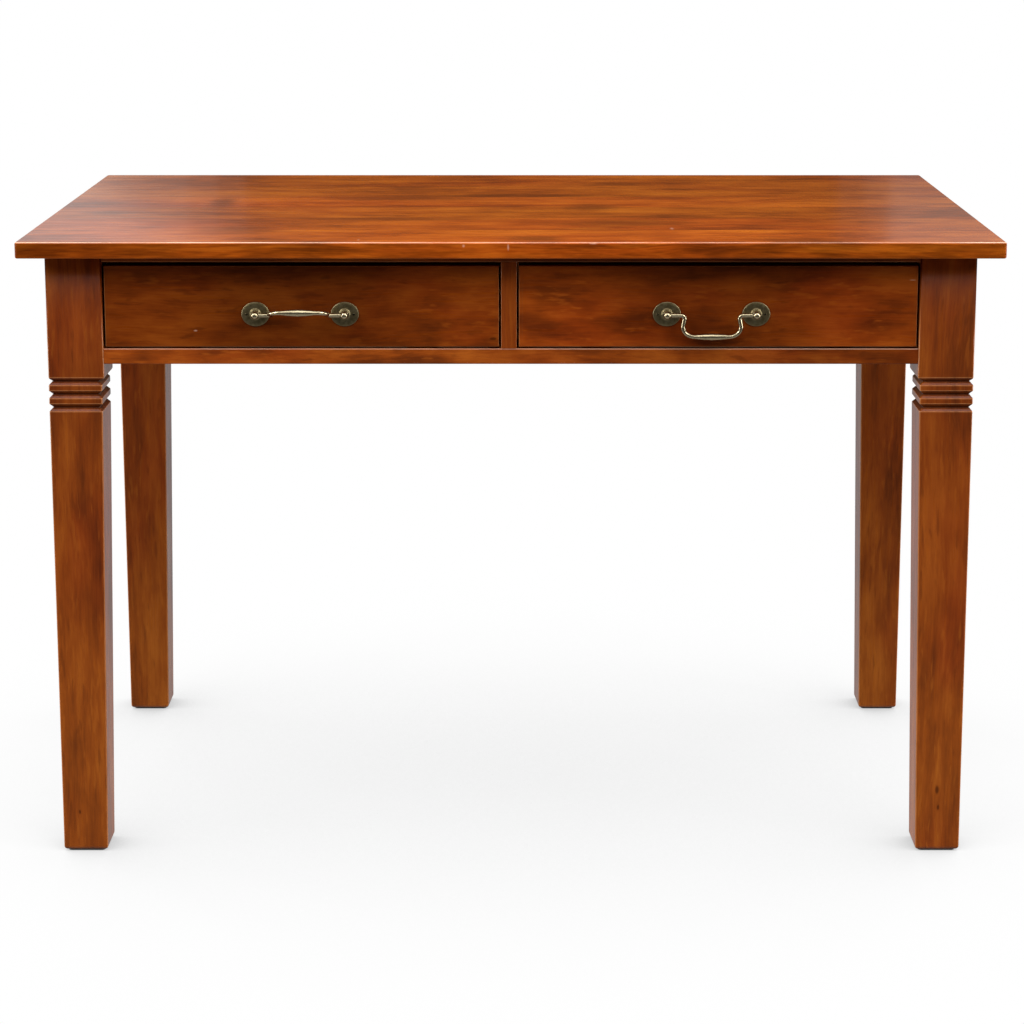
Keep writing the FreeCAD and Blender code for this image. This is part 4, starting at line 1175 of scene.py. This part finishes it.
def make_floor():
    """White floor that glows, with a painted shadow from ambient occlusion where the desk hides it from the
    room.
    """
    corners = [(-FLOOR_HALF, -FLOOR_HALF), (FLOOR_HALF, -FLOOR_HALF), (FLOOR_HALF, FLOOR_HALF),
               (-FLOOR_HALF, FLOOR_HALF)]
    mesh = bpy.data.meshes.new("floor")
    mesh.from_pydata([(x, y, 0) for x, y in corners], [], [(0, 1, 2, 3)])
    tree = new_paint("floor_paint")
    open_share = tree.add(
        "AmbientOcclusion", {"Distance": FLOOR_SHADOW_REACH}, output="AO", samples=FLOOR_SHADOW_RAYS)
    mesh.materials.append(tree.finish_with(
        Base_Color=BLACK, Specular_IOR_Level=0.0, Emission_Color=WHITE,
        Emission_Strength=tree.span(open_share, 0.0, FLOOR_OPEN, FLOOR_DARKEST, 1.0)))
    floor = bpy.data.objects.new("floor", mesh)
    floor.visible_diffuse = False
    floor.visible_glossy = False
    bpy.context.scene.collection.objects.link(floor)


def make_world():
    """Light overhead, dark towards the horizon and the room in front, and plain white to the camera."""
    tree = Tree(bpy.data.worlds.new("studio"), "Background")
    _, y, z = tree.apart(tree.add("TexCoord", output="Generated"))
    height = tree.add("MapRange", {"Value": z, "From Min": -1.0})
    turned = tree.add("MapRange", {"Value": y, "From Min": BACK_Y, "From Max": FRONT_Y})
    rooms = []
    for heights in (BACK_HEIGHTS, FRONT_HEIGHTS):
        rooms.append(tree.ramp(height, [(place, shade(WHITE, light)) for place, light in heights]))
    room = tree.add("Mix", {"Factor": turned, "A": rooms[0], "B": rooms[1]}, output="Result")
    seen = tree.math("MAXIMUM", room, tree.add("LightPath", output="Is Camera Ray"))
    bpy.context.scene.world = tree.finish_with(Color=WHITE, Strength=seen)


def make_back_panel(name, x, z, radiance, layer):
    """Upright panel behind the desk, between a low and a high value each way."""
    centre = (sum(x) / 2, PANEL_Y + layer * PANEL_LAYER, sum(z) / 2)
    make_light(name, centre, (centre[0], 0.0, centre[2]), x[1] - x[0], z[1] - z[0], radiance)


def make_back_panels():
    heights = (PANEL_BOTTOM, PANEL_TOP)
    for layer in range(PANEL_LAYERS):
        soften = (layer - 1) * PANEL_SOFTNESS
        left = (-PANEL_OUTER, LEFT_INNER + soften)
        right = (RIGHT_INNER + soften, PANEL_OUTER)
        make_back_panel(f"back_left_{layer}", left, heights, LEFT_RADIANCE, layer)
        make_back_panel(f"back_right_{layer}", right, heights, RIGHT_RADIANCE, layer)
    facing = (UPPER_LEFT_MIDDLE[0], 0.0, UPPER_LEFT_MIDDLE[2])
    make_light("back_left_upper", UPPER_LEFT_MIDDLE, facing, UPPER_LEFT_SIZE, UPPER_LEFT_SIZE,
               UPPER_LEFT_RADIANCE, UPPER_LEFT_ROLL)
    right = (UPPER_RIGHT_INNER, PANEL_OUTER)
    make_back_panel("back_right_upper", right, (UPPER_RIGHT_BOTTOM, PANEL_TOP), UPPER_RIGHT_RADIANCE, -1)


def make_studio():
    make_camera()
    make_floor()
    make_world()
    for name, settings in LIGHTS.items():
        make_light(name, *settings)
    make_back_panels()
    bpy.context.scene.view_settings.view_transform = "Standard"


# The desk

dress_stained_wood()
dress_drawer_wood()
dress_metal_and_felt()
make_legs()
make_handles()
make_studio()
